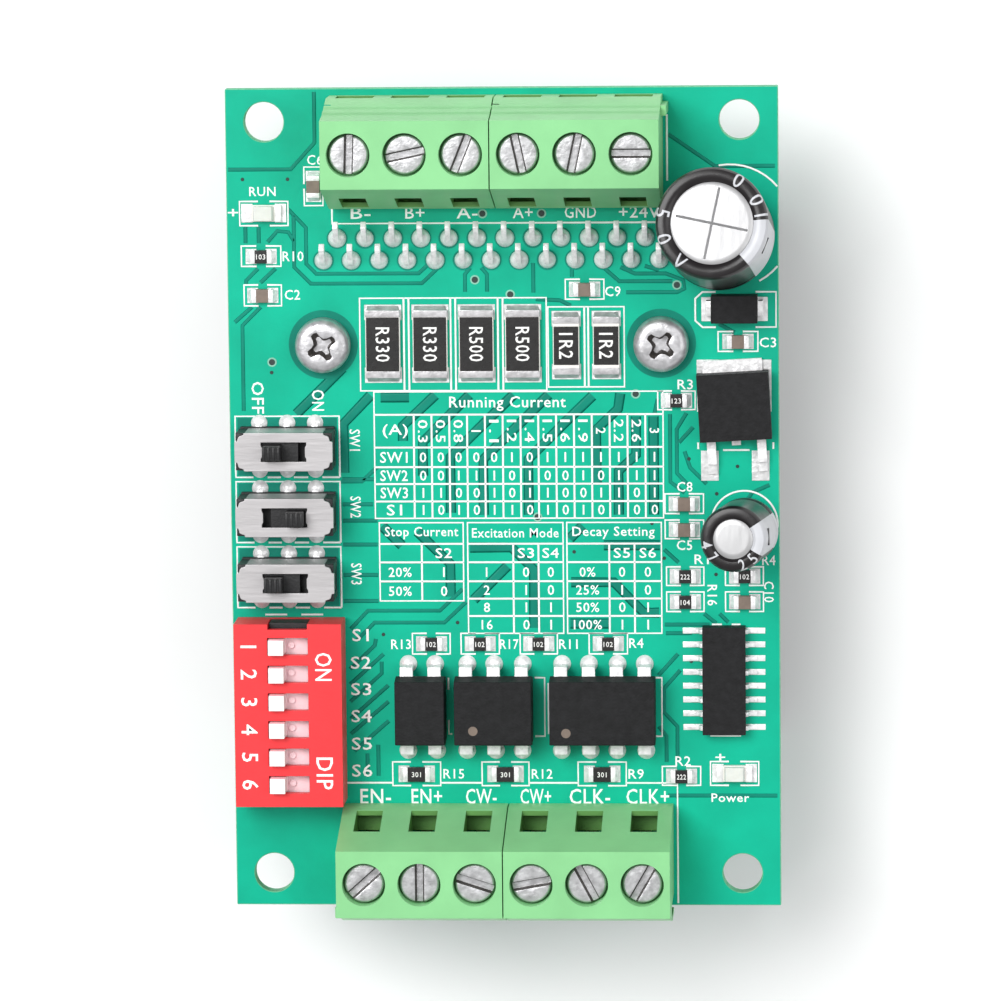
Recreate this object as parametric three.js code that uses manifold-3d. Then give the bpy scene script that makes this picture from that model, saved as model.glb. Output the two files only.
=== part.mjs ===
// Stepper driver module: a circuit board with screw terminals, slide and DIP switches and
// power electronics, screwed down with its driver chip onto a finned heat sink.
//
// Millimetres. +X runs across the board, +Y towards the motor and supply terminals, +Z up.
// The origin lies under the board's centre, on the plane of the heat sink's fin tips.
import * as THREE from "three";
import { mergeVertices } from "three/addons/utils/BufferGeometryUtils.js";
import Module from "manifold-3d";

// ---- driving dimensions -------------------------------------------------------------
const BOARD_WIDTH = 50;
const BOARD_LENGTH = 75;
const BOARD_THICKNESS = 1.6;
const CORNER_HOLE_DIAMETER = 3.6;
const CORNER_HOLE_INSET_X = 3.5;
const CORNER_HOLE_INSET_Y = 3;

const SINK_INSET = 1; // the sink's sides stand in from the board's
const SINK_LENGTH = 50;
const SINK_BASE = 3;
const SINK_FIN_HEIGHT = 9.2;
const SINK_FIN_THICKNESS = 1.3;
const SINK_FIN_PAIRS = 5; // fins on each side of the middle one

const CHIP_EAR = 2.9; // from each screw to the chip's end
const CHIP_DEPTH = 15.5;
const CHIP_THICKNESS = 4.5;
const CHIP_X = -1; // centre of the chip and of its two screws
const CHIP_SCREW_SPACING = 30.7;
const CHIP_SCREW_Y = 14.25;
const CHIP_SCREW_TO_LEAD_SIDE = 6.35;
const CHIP_EDGE = 0.4; // slope along the chip's upper edges
const LEAD_PITCH = 2.54;
const LEAD_WIDTH = 0.5;
const LEAD_THICKNESS = 0.6;
const NEAR_LEADS = 13;
const FAR_LEADS = 12;
const NEAR_ROW_REACH = 1.3; // from the chip's edge to the near row of leads
const LEAD_ROW_SPACING = 2;
const LEAD_ROOT = 1; // length of each lead inside its chip
const LEAD_STAND = 0.7; // straight length above the board, before the lead leans over
const LEAD_TIP_LEAN = 1.4;
const LEAD_TIP_RISE = 1.2;

const CLAMP_SCREW_DIAMETER = 3;
const CLAMP_SCREW_LENGTH = 10;
const CLAMP_HEAD_DIAMETER = 5;
const CLAMP_HEAD_HEIGHT = 2;
const CLAMP_HEAD_RIM = 0.45; // height of the head's straight rim, as a share of the head
const CLAMP_HEAD_CROWN = 0.88; // where the head's crown flattens, as a share of the head
const CLAMP_HEAD_TOP = 0.75; // the crown's radius there, as a share of the head's
const CLAMP_CROSS = { arm: 2.6, width: 0.7, depth: 1.2 };
const CLAMP_CROSS_TURNS = { left: 32, right: 52 };
const CLAMP_TIP = { inset: 0.4, height: 0.5 };
const TAPPED_EXTRA_DEPTH = 0.5; // tapped hole below the screw's tip

const POLES = 3;
const POLE_PITCH = 5;
const BLOCK_HEIGHT = 11;
const BLOCK_GAP = 0.1; // between two blocks of a pair
const BLOCK_TOP_HALF_DEPTH = 3.05;
const BLOCK_INNER_WALL = 2.3; // chamber to the wall that faces the board's middle
const BLOCK_OUTER_WALL = 1.62; // chamber to the wall with the wire entries
const BLOCK_INNER_SHOULDER = 2.2;
const BLOCK_OUTER_SHOULDER = 4.0;
const BLOCK_UPPER_STEP = { drop: 2.7, lean: 0.37 }; // below the top face, on the entry side
const BLOCK_LOWER_STEP = { drop: 4.4, lean: 0.75 };
const BLOCK_STEP = { height: 0.3, depth: 0.19 };
const BACK_ROW_X = -0.44;
const BACK_ROW_INSET = 5.24; // board's edge to the screw axes
const FRONT_ROW_X = 0.14;
const FRONT_ROW_INSET = 3.97;

const CHAMBER_WALL = 1.1; // between two chambers
const CHAMBER_ROOF = 0.5; // under each screw's head
const CHAMBER_ENTRY_ROOM = 0.65; // cage to the chamber's wall on the entry side
const CHAMBER_BACK_ROOM = 0.85; // cage to the chamber's far wall
const ENTRY_RIM = 0.25; // chamber's side wall to the side of the wire entry
const ENTRY_BOTTOM = 0.8;
const ENTRY_HEIGHT = 3.1;
const WINDOW_RIM = 0.75; // chamber's side wall to the window's side
const WINDOW_BOTTOM = 2.8;
const WINDOW_LINTEL = 1.4; // window's top to the chamber's top
const DOVETAIL_DEPTH = 0.5;
const DOVETAIL_WIDTH = 0.9;
const DOVETAIL_OFFSET = 3.5; // screw axis to the middle of the dovetail
const DOVETAIL_DROP = 4.7; // below the block's top face
const DOVETAIL_ROOT = 0.2; // length of each rib inside its block
const DOVETAIL_CLEARANCE = 0.2;

const HEAD_DIAMETER = 3.5;
const HEAD_HEIGHT = 1.3;
const HEAD_RECESS = 0.8; // below the block's top face
const HEAD_CLEARANCE = 0.2;
const HEAD_EDGE = 0.15;
const HEAD_SEAT_GAP = 0.05; // under each head
const SHANK_DIAMETER = 2.2;
const SHANK_CLEARANCE = 0.2;
const SLOT_WIDTH = 0.65;
const SLOT_DEPTH = 0.7;

const CAGE_CLEARANCE = 0.25; // cage to the chamber's side walls
const CAGE_DEPTH = 4.7;
const CAGE_HEIGHT = 5.2;
const CAGE_WALL = 0.45;
const CAGE_FLOOR = 0.7;
const CAGE_ROOF = 1.2;
const CAGE_LIFT_OFF = 0.3; // gap below an open cage
const TIP_REACH = 0.1; // the screw's tip below the roof of an open cage

const DIP_EDGE_X = 5.45; // board's left edge to the switch's middle
const DIP_TO_TERMINALS = 0.53; // gap between the switch and the front terminal blocks
const DIP_WAYS = 6;
const DIP_PITCH = 2.54;
const DIP_WIDTH = 9.8;
const DIP_END = 0.78; // beyond the first and last ways
const DIP_HEIGHT = 5;
const DIP_WALL = 0.5;
const DIP_ROOF = 0.8;
const DIP_FOOT = 0.5; // black base showing below the cover
const DIP_FOOT_INSET = 0.1;
const DIP_NOTCH_WIDTH = 3.6;
const DIP_NOTCH_BOTTOM = 1.4;
const DIP_SLOT_END_GAP = 0.15; // knob to the slot's end
const DIP_SLOT_SIDE_GAP = 0.1;
const DIP_KNOB = 1.4;
const DIP_KNOB_RISE = 0.9;
const DIP_TRAVEL = 2;
const DIP_SKIRT_SHORT = 0.2; // what the skirt leaves open of the slot and the travel
const DIP_RIB = 0.34; // wall between two pockets
const DIP_SKIRT_HEIGHT = 0.8;
const DIP_STEM_LENGTH = 1.6;
const DIP_STEM_DROP = 1.2;
const DIP_CLEARANCE = 0.2;

const SLIDE_EDGE_X = 5.3; // board's left edge to the switches' middle
const SLIDE_TO_DIP = 1.8; // gap between the last slide switch and the DIP switch
const SLIDE_SWITCHES = 3;
const SLIDE_SPACING = 6;
const SLIDE_LENGTH = 8.9;
const SLIDE_WIDTH = 3.5;
const SLIDE_HEIGHT = 4.5;
const SLIDE_SHEET = 0.3;
const SLIDE_FOOT = 0.7; // base showing below the metal frame's sides
const SLIDE_CORNER = { notch: 0.75, step: 0.4 };
const SLIDE_SLOT_END_GAP = 0.2; // knob to the slot's end
const SLIDE_SLOT_SIDE_GAP = 0.175;
const SLIDE_KNOB_LENGTH = 1.6;
const SLIDE_KNOB_WIDTH = 1.3;
const SLIDE_KNOB_RISE = 1.6;
const SLIDE_TRAVEL = 2;
const SLIDE_CARRIAGE_LENGTH = 4.6;
const SLIDE_POCKET_WALL = 0.2;
const SLIDE_CARRIAGE_HEIGHT = 1;
const SLIDE_CLEARANCE = 0.15;
const SLIDE_BASE_GAP = 0.1; // between the base and the metal frame
const SLIDE_BASE_SHORT = 0.3; // the base is this much shorter than the frame
const SLIDE_FOOT_SPREAD = 0.1; // the foot stands this far past the frame's sides

const SUPPLY_CAPACITOR = {
  x: BOARD_WIDTH / 2 - 5.3, y: BOARD_LENGTH / 2 - 13.36, leanX: -0.33, leanY: 2.64,
  diameter: 10, length: 15.2, leadPitch: 5, leadTurn: 0.4, standoff: 1.2,
};
const OUTPUT_CAPACITOR = {
  x: BOARD_WIDTH / 2 - 3.03, y: -2.73, leanX: -1.08, leanY: 0.57,
  diameter: 6, length: 10, leadPitch: 2.5, leadTurn: 0.9, standoff: 0.8,
};
const CAPACITOR_RIM = 0.6; // rolled edge of the can
const CAPACITOR_GROOVE = { depth: 0.35, height: 1.8, half: 0.5 };
const CAPACITOR_EDGE = { inset: 0.2, drop: 0.2 };
const CAPACITOR_CROWN = { drop: 0.35, width: 0.7 }; // sunk top inside the rolled edge
const CAPACITOR_FOOT_EDGE = 0.4;
const CAPACITOR_LEAD_DIAMETER = 0.6;
const CAPACITOR_LEAD_TAIL = 1.2; // below the board
const CAPACITOR_LEAD_ROOT = 1.2; // inside the can

const OPTOCOUPLERS = [
  { name: "optocoupler_4_pin", x: -7.72, pins: 4 },
  { name: "optocoupler_6_pin", x: -1.05, pins: 6 },
  { name: "optocoupler_8_pin", x: 8.88, pins: 8 },
];
const OPTOCOUPLER_END = 0.98; // beyond the outer leads' middles
const OPTOCOUPLER_Y = -19.1;
const OPTOCOUPLER_DEPTH = 6.4;
const OPTOCOUPLER_HEIGHT = 3.4;
const OPTOCOUPLER_STANDOFF = 0.5;
const OPTOCOUPLER_LEAD_REACH = 0.7; // body's side to the middle of the leads' feet
const OPTOCOUPLER_DRAFT = 0.3;
const OPTOCOUPLER_LEAD = { width: 1.2, thickness: 0.3 };

const LOGIC_CHIP = {
  x: BOARD_WIDTH / 2 - 5.1, y: -16.5, width: 3.9, height: 1.5, standoff: 0.1, pins: 16, end: 0.505,
};
const LOGIC_LEAD = {
  pitch: 1.27, width: 0.4, thickness: 0.22, reach: 1.05, foot: 0.8, exit: 0.65, root: 0.5,
};

const REGULATOR = {
  x: BOARD_WIDTH / 2 - 4.05, y: 8.65, turn: 3, width: 6.5, length: 6.1, height: 2.3,
};
const REGULATOR_TAB = { side: 0.55, reach: 1.1, thickness: 0.5, root: 0.3 };
const REGULATOR_LEG = { x: 2.28, width: 0.8, exit: 0.4, thickness: 0.5, bend: 2.2, reach: 3.1 };
const REGULATOR_STUB = 0.55; // the cut middle leg
const DIODE = {
  x: BOARD_WIDTH / 2 - 4, y: 17.5, width: 4.2, length: 2.5, height: 2.2, standoff: 0.1,
};
const DIODE_TAB = { reach: 0.5, root: 1, width: 1.4, height: 1.2 };
const RUN_LED = { x: -BOARD_WIDTH / 2 + 3.4, y: BOARD_LENGTH / 2 - 11.25 };
const POWER_LED = { x: BOARD_WIDTH / 2 - 4.2, y: -25.2 };
const LED_LENGTH = 3.2;
const LED_WIDTH = 1.5;
const LED_SUBSTRATE = 0.5;
const LED_LENS = { foot: 0.96, top: 0.8, height: 1.1, inset: 0.1, root: 0.1 };

const HOLE_CLEARANCE = 0.25; // round every screw that passes through another piece
const LEAD_HOLE_CLEARANCE = 0.25; // round every lead that passes through the board
const PAST = 1; // how far a cutting shape runs past the face it cuts

// ---- levels that follow from them ---------------------------------------------------
const SINK_TOP = SINK_FIN_HEIGHT + SINK_BASE;
const BOARD_BOTTOM = SINK_TOP + CHIP_THICKNESS;
const BOARD_TOP = BOARD_BOTTOM + BOARD_THICKNESS;
const HEAD_BOTTOM = BLOCK_HEIGHT - HEAD_RECESS - HEAD_HEIGHT;
const CHAMBER_HEIGHT = HEAD_BOTTOM - CHAMBER_ROOF;
const CAGE_TOP = CAGE_LIFT_OFF + CAGE_HEIGHT;
const SHANK_BOTTOM = CAGE_TOP - CAGE_ROOF - TIP_REACH;

// ---- sizes and places that follow from them -----------------------------------------
const SINK_WIDTH = BOARD_WIDTH - 2 * SINK_INSET;
const CHIP_LENGTH = CHIP_SCREW_SPACING + 2 * CHIP_EAR;
const CHIP_LEAD_SIDE_Y = CHIP_SCREW_Y + CHIP_SCREW_TO_LEAD_SIDE;
const BLOCK_LENGTH = POLES * POLE_PITCH;
const CHAMBER_WIDTH = POLE_PITCH - CHAMBER_WALL;
const CAGE_WIDTH = CHAMBER_WIDTH - 2 * CAGE_CLEARANCE;
const ENTRY_WIDTH = CHAMBER_WIDTH - 2 * ENTRY_RIM;
const WINDOW_WIDTH = CHAMBER_WIDTH - 2 * WINDOW_RIM;
const CHAMBER_TO_ENTRY = CAGE_DEPTH / 2 + CHAMBER_ENTRY_ROOM; // screw axis to the end walls
const CHAMBER_TO_BACK = CAGE_DEPTH / 2 + CHAMBER_BACK_ROOM;
const BLOCK_INNER_DEPTH = CHAMBER_TO_BACK + BLOCK_INNER_WALL;
const BLOCK_OUTER_DEPTH = CHAMBER_TO_ENTRY + BLOCK_OUTER_WALL;
const HEAD_HOLE = HEAD_DIAMETER + 2 * HEAD_CLEARANCE;
const SHANK_HOLE = SHANK_DIAMETER + 2 * SHANK_CLEARANCE;
const BACK_ROW = { x: BACK_ROW_X, y: BOARD_LENGTH / 2 - BACK_ROW_INSET };
const FRONT_ROW = { x: FRONT_ROW_X, y: -BOARD_LENGTH / 2 + FRONT_ROW_INSET };
const DIP_X = -BOARD_WIDTH / 2 + DIP_EDGE_X;
const DIP_LENGTH = DIP_WAYS * DIP_PITCH + 2 * DIP_END;
const DIP_Y = FRONT_ROW.y + BLOCK_INNER_DEPTH + DIP_TO_TERMINALS + DIP_LENGTH / 2;
const DIP_SLOT_LENGTH = DIP_TRAVEL + DIP_KNOB + 2 * DIP_SLOT_END_GAP;
const DIP_SLOT_WIDTH = DIP_KNOB + 2 * DIP_SLOT_SIDE_GAP;
const DIP_SKIRT_LENGTH = DIP_SLOT_LENGTH + DIP_TRAVEL - DIP_SKIRT_SHORT;
const DIP_SKIRT_WIDTH = DIP_PITCH - DIP_RIB - 2 * DIP_CLEARANCE;
const SLIDE_X = -BOARD_WIDTH / 2 + SLIDE_EDGE_X;
const SLIDE_FOOT_WIDTH = SLIDE_WIDTH + 2 * SLIDE_FOOT_SPREAD;
const SLIDE_LAST_Y = DIP_Y + DIP_LENGTH / 2 + SLIDE_TO_DIP + SLIDE_FOOT_WIDTH / 2;
const SLIDE_SLOT_LENGTH = SLIDE_TRAVEL + SLIDE_KNOB_LENGTH + 2 * SLIDE_SLOT_END_GAP;
const SLIDE_SLOT_WIDTH = SLIDE_KNOB_WIDTH + 2 * SLIDE_SLOT_SIDE_GAP;
const SLIDE_BASE_WIDTH = SLIDE_WIDTH - 2 * SLIDE_SHEET - 2 * SLIDE_BASE_GAP;
const SLIDE_BASE_LENGTH = SLIDE_LENGTH - SLIDE_BASE_SHORT;
const SLIDE_CARRIAGE_WIDTH = SLIDE_BASE_WIDTH - 2 * SLIDE_POCKET_WALL - 2 * SLIDE_CLEARANCE;

// ---- materials ----------------------------------------------------------------------
function material(color, roughness, metalness = 0) {
  return new THREE.MeshStandardMaterial({ color, roughness, metalness });
}

const solderMask = material(0x12a17c, 0.4);
const terminalGreen = material(0x93d68f, 0.5);
const zincSteel = material(0xd6d8dd, 0.3, 1);
const tinnedBrass = material(0xcfc9b8, 0.35, 1);
const dipRed = material(0xe23b3f, 0.45);
const dipWhite = material(0xf4f1ee, 0.45);
const blackPlastic = material(0x1c1c1e, 0.6);
const nickelSheet = material(0xc9c8ca, 0.35, 1);
const capacitorSleeve = material(0x2b2526, 0.35);
const mouldedEpoxy = material(0x2f2f31, 0.65);
const anodised = material(0x24262a, 0.45, 0.8);
const diffusedLens = material(0xf2efe2, 0.3);

// ---- geometry helpers ---------------------------------------------------------------
const wasm = await Module();
wasm.setup();

// A closed three.js geometry as a solid that can be joined and cut.
function solid(geometry) {
  const bare = new THREE.BufferGeometry();
  bare.setAttribute("position", geometry.getAttribute("position"));
  bare.setIndex(geometry.index);
  const merged = mergeVertices(bare, 1e-4);
  return new wasm.Manifold(
    new wasm.Mesh({
      numProp: 3,
      vertProperties: merged.getAttribute("position").array,
      triVerts: new Uint32Array(merged.index.array),
    }),
  );
}

// The geometry of a solid.
function geometryOf(body) {
  const mesh = body.getMesh();
  const geometry = new THREE.BufferGeometry();
  geometry.setAttribute("position", new THREE.BufferAttribute(mesh.vertProperties, 3));
  geometry.setIndex(new THREE.BufferAttribute(mesh.triVerts, 1));
  geometry.computeVertexNormals();
  return geometry;
}

// A box between two corners.
function block(x0, x1, y0, y1, z0, z1) {
  const geometry = new THREE.BoxGeometry(x1 - x0, y1 - y0, z1 - z0);
  geometry.translate((x0 + x1) / 2, (y0 + y1) / 2, (z0 + z1) / 2);
  return solid(geometry);
}

// A box of the given size, centred on x, y and standing on z.
function boxOn(x, y, z, width, depth, height) {
  return block(x - width / 2, x + width / 2, y - depth / 2, y + depth / 2, z, z + height);
}

// An upright round bar.
function post(x, y, z0, z1, diameter, sides) {
  const geometry = new THREE.CylinderGeometry(diameter / 2, diameter / 2, z1 - z0, sides);
  geometry.rotateX(Math.PI / 2);
  geometry.translate(x, y, (z0 + z1) / 2);
  return solid(geometry);
}

// A shape in the YZ plane, given as [y, z] points, drawn out along X.
function barAlongX(points, x0, x1) {
  const shape = new THREE.Shape(points.map(([y, z]) => new THREE.Vector2(y, z)));
  const geometry = new THREE.ExtrudeGeometry(shape, { depth: x1 - x0, bevelEnabled: false });
  const turn = new THREE.Matrix4().makeBasis(
    new THREE.Vector3(0, 1, 0),
    new THREE.Vector3(0, 0, 1),
    new THREE.Vector3(1, 0, 0),
  );
  geometry.applyMatrix4(turn);
  geometry.translate(x0, 0, 0);
  return solid(geometry);
}

// A shape in the XZ plane, given as [x, z] points, drawn out along Y.
function barAlongY(points, y0, y1) {
  const shape = new THREE.Shape(points.map(([x, z]) => new THREE.Vector2(x, z)));
  const geometry = new THREE.ExtrudeGeometry(shape, { depth: y1 - y0, bevelEnabled: false });
  geometry.rotateX(Math.PI / 2);
  geometry.translate(0, y1, 0);
  return solid(geometry);
}

// A flat plate: an outline in the XY plane, with or without holes, between two heights.
function plate(shape, z0, z1) {
  const geometry = new THREE.ExtrudeGeometry(shape, { depth: z1 - z0, bevelEnabled: false });
  geometry.translate(0, 0, z0);
  return geometry;
}

// A turned piece round Z, from an [r, z] profile that starts and ends on the axis.
function turned(points, sides) {
  const profile = points.map(([r, z]) => new THREE.Vector2(r, z));
  const geometry = new THREE.LatheGeometry(profile, sides);
  geometry.rotateX(Math.PI / 2);
  return solid(geometry);
}

function rectangle(width, depth) {
  return new THREE.Shape([
    new THREE.Vector2(-width / 2, -depth / 2),
    new THREE.Vector2(width / 2, -depth / 2),
    new THREE.Vector2(width / 2, depth / 2),
    new THREE.Vector2(-width / 2, depth / 2),
  ]);
}

// A polygon that stands for a round hole in a plate's outline.
function roundHole(x, y, diameter, sides) {
  const points = [];
  for (let i = 0; i < sides; i += 1) {
    const angle = (2 * Math.PI * (i + 0.5)) / sides;
    const across = (diameter / 2) * Math.cos(angle);
    const along = (diameter / 2) * Math.sin(angle);
    points.push(new THREE.Vector2(x + across, y + along));
  }
  return new THREE.Path(points);
}

function joined(bodies) {
  return bodies.reduce((whole, body) => whole.add(body));
}

const stepperDriver = new THREE.Group();
stepperDriver.name = "stepper_driver";

function place(name, body, finish, x = 0, y = 0, z = 0) {
  const mesh = new THREE.Mesh(body.isBufferGeometry ? body : geometryOf(body), finish);
  mesh.name = name;
  mesh.position.set(x, y, z);
  stepperDriver.add(mesh);
}

// ---- places shared by pieces that fit each other ------------------------------------
function leadPlaces() {
  const nearY = CHIP_LEAD_SIDE_Y + NEAR_ROW_REACH;
  const rows = [
    { count: NEAR_LEADS, y: nearY },
    { count: FAR_LEADS, y: nearY + LEAD_ROW_SPACING },
  ];
  return rows.flatMap(({ count, y }) =>
    Array.from({ length: count }, (_, i) => ({
      x: CHIP_X + (i - (count - 1) / 2) * LEAD_PITCH,
      y,
    })),
  );
}

function capacitorLeadPlaces(can) {
  return [-1, 1].map((side) => ({
    x: can.x + (side * can.leadPitch * Math.cos(can.leadTurn)) / 2,
    y: can.y + (side * can.leadPitch * Math.sin(can.leadTurn)) / 2,
  }));
}

const chipScrewXs = [-1, 1].map((side) => CHIP_X + (side * CHIP_SCREW_SPACING) / 2);
const screwHoleDiameter = CLAMP_SCREW_DIAMETER + 2 * HOLE_CLEARANCE;

// ---- board --------------------------------------------------------------------------
function board() {
  const outline = rectangle(BOARD_WIDTH, BOARD_LENGTH);
  const holeX = BOARD_WIDTH / 2 - CORNER_HOLE_INSET_X;
  const holeY = BOARD_LENGTH / 2 - CORNER_HOLE_INSET_Y;
  for (const sideX of [-1, 1]) {
    for (const sideY of [-1, 1]) {
      outline.holes.push(roundHole(sideX * holeX, sideY * holeY, CORNER_HOLE_DIAMETER, 24));
    }
  }
  for (const x of chipScrewXs) {
    outline.holes.push(roundHole(x, CHIP_SCREW_Y, screwHoleDiameter, 12));
  }
  const leadHole = Math.hypot(LEAD_WIDTH, LEAD_THICKNESS) + LEAD_HOLE_CLEARANCE;
  for (const { x, y } of leadPlaces()) {
    outline.holes.push(roundHole(x, y, leadHole, 6));
  }
  const canHole = CAPACITOR_LEAD_DIAMETER + 2 * LEAD_HOLE_CLEARANCE;
  for (const can of [SUPPLY_CAPACITOR, OUTPUT_CAPACITOR]) {
    for (const { x, y } of capacitorLeadPlaces(can)) {
      outline.holes.push(roundHole(x, y, canHole, 6));
    }
  }
  place("circuit_board", plate(outline, BOARD_BOTTOM, BOARD_TOP), solderMask);
}

// ---- heat sink, driver chip and the two screws that clamp them ----------------------
function heatSink() {
  const pitch = (SINK_WIDTH - SINK_FIN_THICKNESS) / (2 * SINK_FIN_PAIRS);
  const half = SINK_FIN_THICKNESS / 2;
  const outline = [];
  for (let i = -SINK_FIN_PAIRS; i <= SINK_FIN_PAIRS; i += 1) {
    outline.push([i * pitch - half, SINK_FIN_HEIGHT], [i * pitch - half, 0]);
    outline.push([i * pitch + half, 0], [i * pitch + half, SINK_FIN_HEIGHT]);
  }
  outline[0] = [-SINK_WIDTH / 2, SINK_TOP];
  outline[outline.length - 1] = [SINK_WIDTH / 2, SINK_TOP];
  let body = barAlongY(outline, -SINK_LENGTH / 2, SINK_LENGTH / 2);
  const holeBottom = BOARD_TOP - CLAMP_SCREW_LENGTH - TAPPED_EXTRA_DEPTH;
  for (const x of chipScrewXs) {
    const tapped = post(x, CHIP_SCREW_Y, holeBottom, SINK_TOP + PAST, screwHoleDiameter, 12);
    body = body.subtract(tapped);
  }
  place("heat_sink", body, anodised);
}

// One lead of the driver chip: out of its edge, up through the board, then leaning over.
function chipLead(x, rowY) {
  const half = LEAD_THICKNESS / 2;
  const exitZ = SINK_TOP + CHIP_THICKNESS / 2;
  const bendZ = BOARD_TOP + LEAD_STAND;
  const outline = [
    [CHIP_LEAD_SIDE_Y - LEAD_ROOT, exitZ - half],
    [rowY + half, exitZ - half],
    [rowY + half, bendZ],
    [rowY + half + LEAD_TIP_LEAN, bendZ + LEAD_TIP_RISE],
    [rowY - half + LEAD_TIP_LEAN, bendZ + LEAD_TIP_RISE + half],
    [rowY - half, bendZ + half],
    [rowY - half, exitZ + half],
    [CHIP_LEAD_SIDE_Y - LEAD_ROOT, exitZ + half],
  ];
  return barAlongX(outline, x - LEAD_WIDTH / 2, x + LEAD_WIDTH / 2);
}

function driverChip() {
  const nearY = CHIP_LEAD_SIDE_Y - CHIP_DEPTH;
  const section = [
    [nearY, SINK_TOP],
    [CHIP_LEAD_SIDE_Y, SINK_TOP],
    [CHIP_LEAD_SIDE_Y, BOARD_BOTTOM - CHIP_EDGE],
    [CHIP_LEAD_SIDE_Y - CHIP_EDGE, BOARD_BOTTOM],
    [nearY + CHIP_EDGE, BOARD_BOTTOM],
    [nearY, BOARD_BOTTOM - CHIP_EDGE],
  ];
  let body = barAlongX(section, CHIP_X - CHIP_LENGTH / 2, CHIP_X + CHIP_LENGTH / 2);
  for (const x of chipScrewXs) {
    const bottom = SINK_TOP - PAST;
    body = body.subtract(post(x, CHIP_SCREW_Y, bottom, BOARD_BOTTOM + PAST, screwHoleDiameter, 12));
  }
  const leads = leadPlaces().map(({ x, y }) => chipLead(x, y));
  place("driver_chip", joined([body, ...leads]), mouldedEpoxy);
}

function clampScrew(side, x) {
  const shank = CLAMP_SCREW_DIAMETER / 2;
  const head = CLAMP_HEAD_DIAMETER / 2;
  const body = turned(
    [
      [0, -CLAMP_SCREW_LENGTH],
      [shank - CLAMP_TIP.inset, -CLAMP_SCREW_LENGTH],
      [shank, -CLAMP_SCREW_LENGTH + CLAMP_TIP.height],
      [shank, 0],
      [head, 0],
      [head, CLAMP_HEAD_HEIGHT * CLAMP_HEAD_RIM],
      [head * CLAMP_HEAD_TOP, CLAMP_HEAD_HEIGHT * CLAMP_HEAD_CROWN],
      [0, CLAMP_HEAD_HEIGHT],
    ],
    16,
  );
  const { arm, width, depth } = CLAMP_CROSS;
  const crossZ = CLAMP_HEAD_HEIGHT - depth;
  const cross = joined([
    boxOn(0, 0, crossZ, arm, width, depth + PAST),
    boxOn(0, 0, crossZ, width, arm, depth + PAST),
  ]);
  const cut = body.subtract(cross.rotate([0, 0, CLAMP_CROSS_TURNS[side]]));
  place("clamp_screw_" + side, cut, zincSteel, x, CHIP_SCREW_Y, BOARD_TOP);
}

// ---- screw terminals ----------------------------------------------------------------
// Each block is modelled with its screw axes on y = 0, its wire entries towards -y and its
// windows towards +y. The blocks at the board's back are turned half round.
const poleOffsets = Array.from({ length: POLES }, (_, i) => (i - (POLES - 1) / 2) * POLE_PITCH);

function blockSection() {
  const steps = [BLOCK_UPPER_STEP, BLOCK_LOWER_STEP].flatMap(({ drop, lean }) => {
    const y = -BLOCK_TOP_HALF_DEPTH - lean;
    const z = BLOCK_HEIGHT - drop;
    return [
      [y, z],
      [y - BLOCK_STEP.depth, z - BLOCK_STEP.height],
    ];
  });
  return [
    [BLOCK_INNER_DEPTH, 0],
    [BLOCK_INNER_DEPTH, BLOCK_INNER_SHOULDER],
    [BLOCK_TOP_HALF_DEPTH, BLOCK_HEIGHT],
    [-BLOCK_TOP_HALF_DEPTH, BLOCK_HEIGHT],
    ...steps,
    [-BLOCK_OUTER_DEPTH, BLOCK_OUTER_SHOULDER],
    [-BLOCK_OUTER_DEPTH, 0],
  ];
}

function dovetail(x0, x1, width, height) {
  return block(x0, x1, -DOVETAIL_OFFSET - width / 2, -DOVETAIL_OFFSET + width / 2, 0, height);
}

function terminalBlock() {
  const end = BLOCK_LENGTH / 2;
  const section = barAlongX(blockSection(), -end, end);
  const ribHeight = BLOCK_HEIGHT - DOVETAIL_DROP;
  const rib = dovetail(-end - DOVETAIL_DEPTH, -end + DOVETAIL_ROOT, DOVETAIL_WIDTH, ribHeight);
  const groove = dovetail(
    end - DOVETAIL_DEPTH - DOVETAIL_CLEARANCE + BLOCK_GAP,
    end + PAST,
    DOVETAIL_WIDTH + 2 * DOVETAIL_CLEARANCE,
    ribHeight + DOVETAIL_CLEARANCE,
  );
  const side = CHAMBER_WIDTH / 2;
  const windowHeight = CHAMBER_HEIGHT - WINDOW_LINTEL - WINDOW_BOTTOM;
  let body = section.add(rib).subtract(groove);
  for (const x of poleOffsets) {
    const cuts = [
      block(x - side, x + side, -CHAMBER_TO_ENTRY, CHAMBER_TO_BACK, -PAST, CHAMBER_HEIGHT),
      boxOn(x, -CHAMBER_TO_ENTRY, ENTRY_BOTTOM, ENTRY_WIDTH, 2 * BLOCK_OUTER_DEPTH, ENTRY_HEIGHT),
      boxOn(x, CHAMBER_TO_BACK, WINDOW_BOTTOM, WINDOW_WIDTH, 2 * BLOCK_INNER_DEPTH, windowHeight),
      post(x, 0, HEAD_BOTTOM - HEAD_SEAT_GAP, BLOCK_HEIGHT + PAST, HEAD_HOLE, 20),
      post(x, 0, CHAMBER_HEIGHT - PAST, BLOCK_HEIGHT, SHANK_HOLE, 12),
    ];
    body = body.subtract(joined(cuts));
  }
  return body;
}

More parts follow.
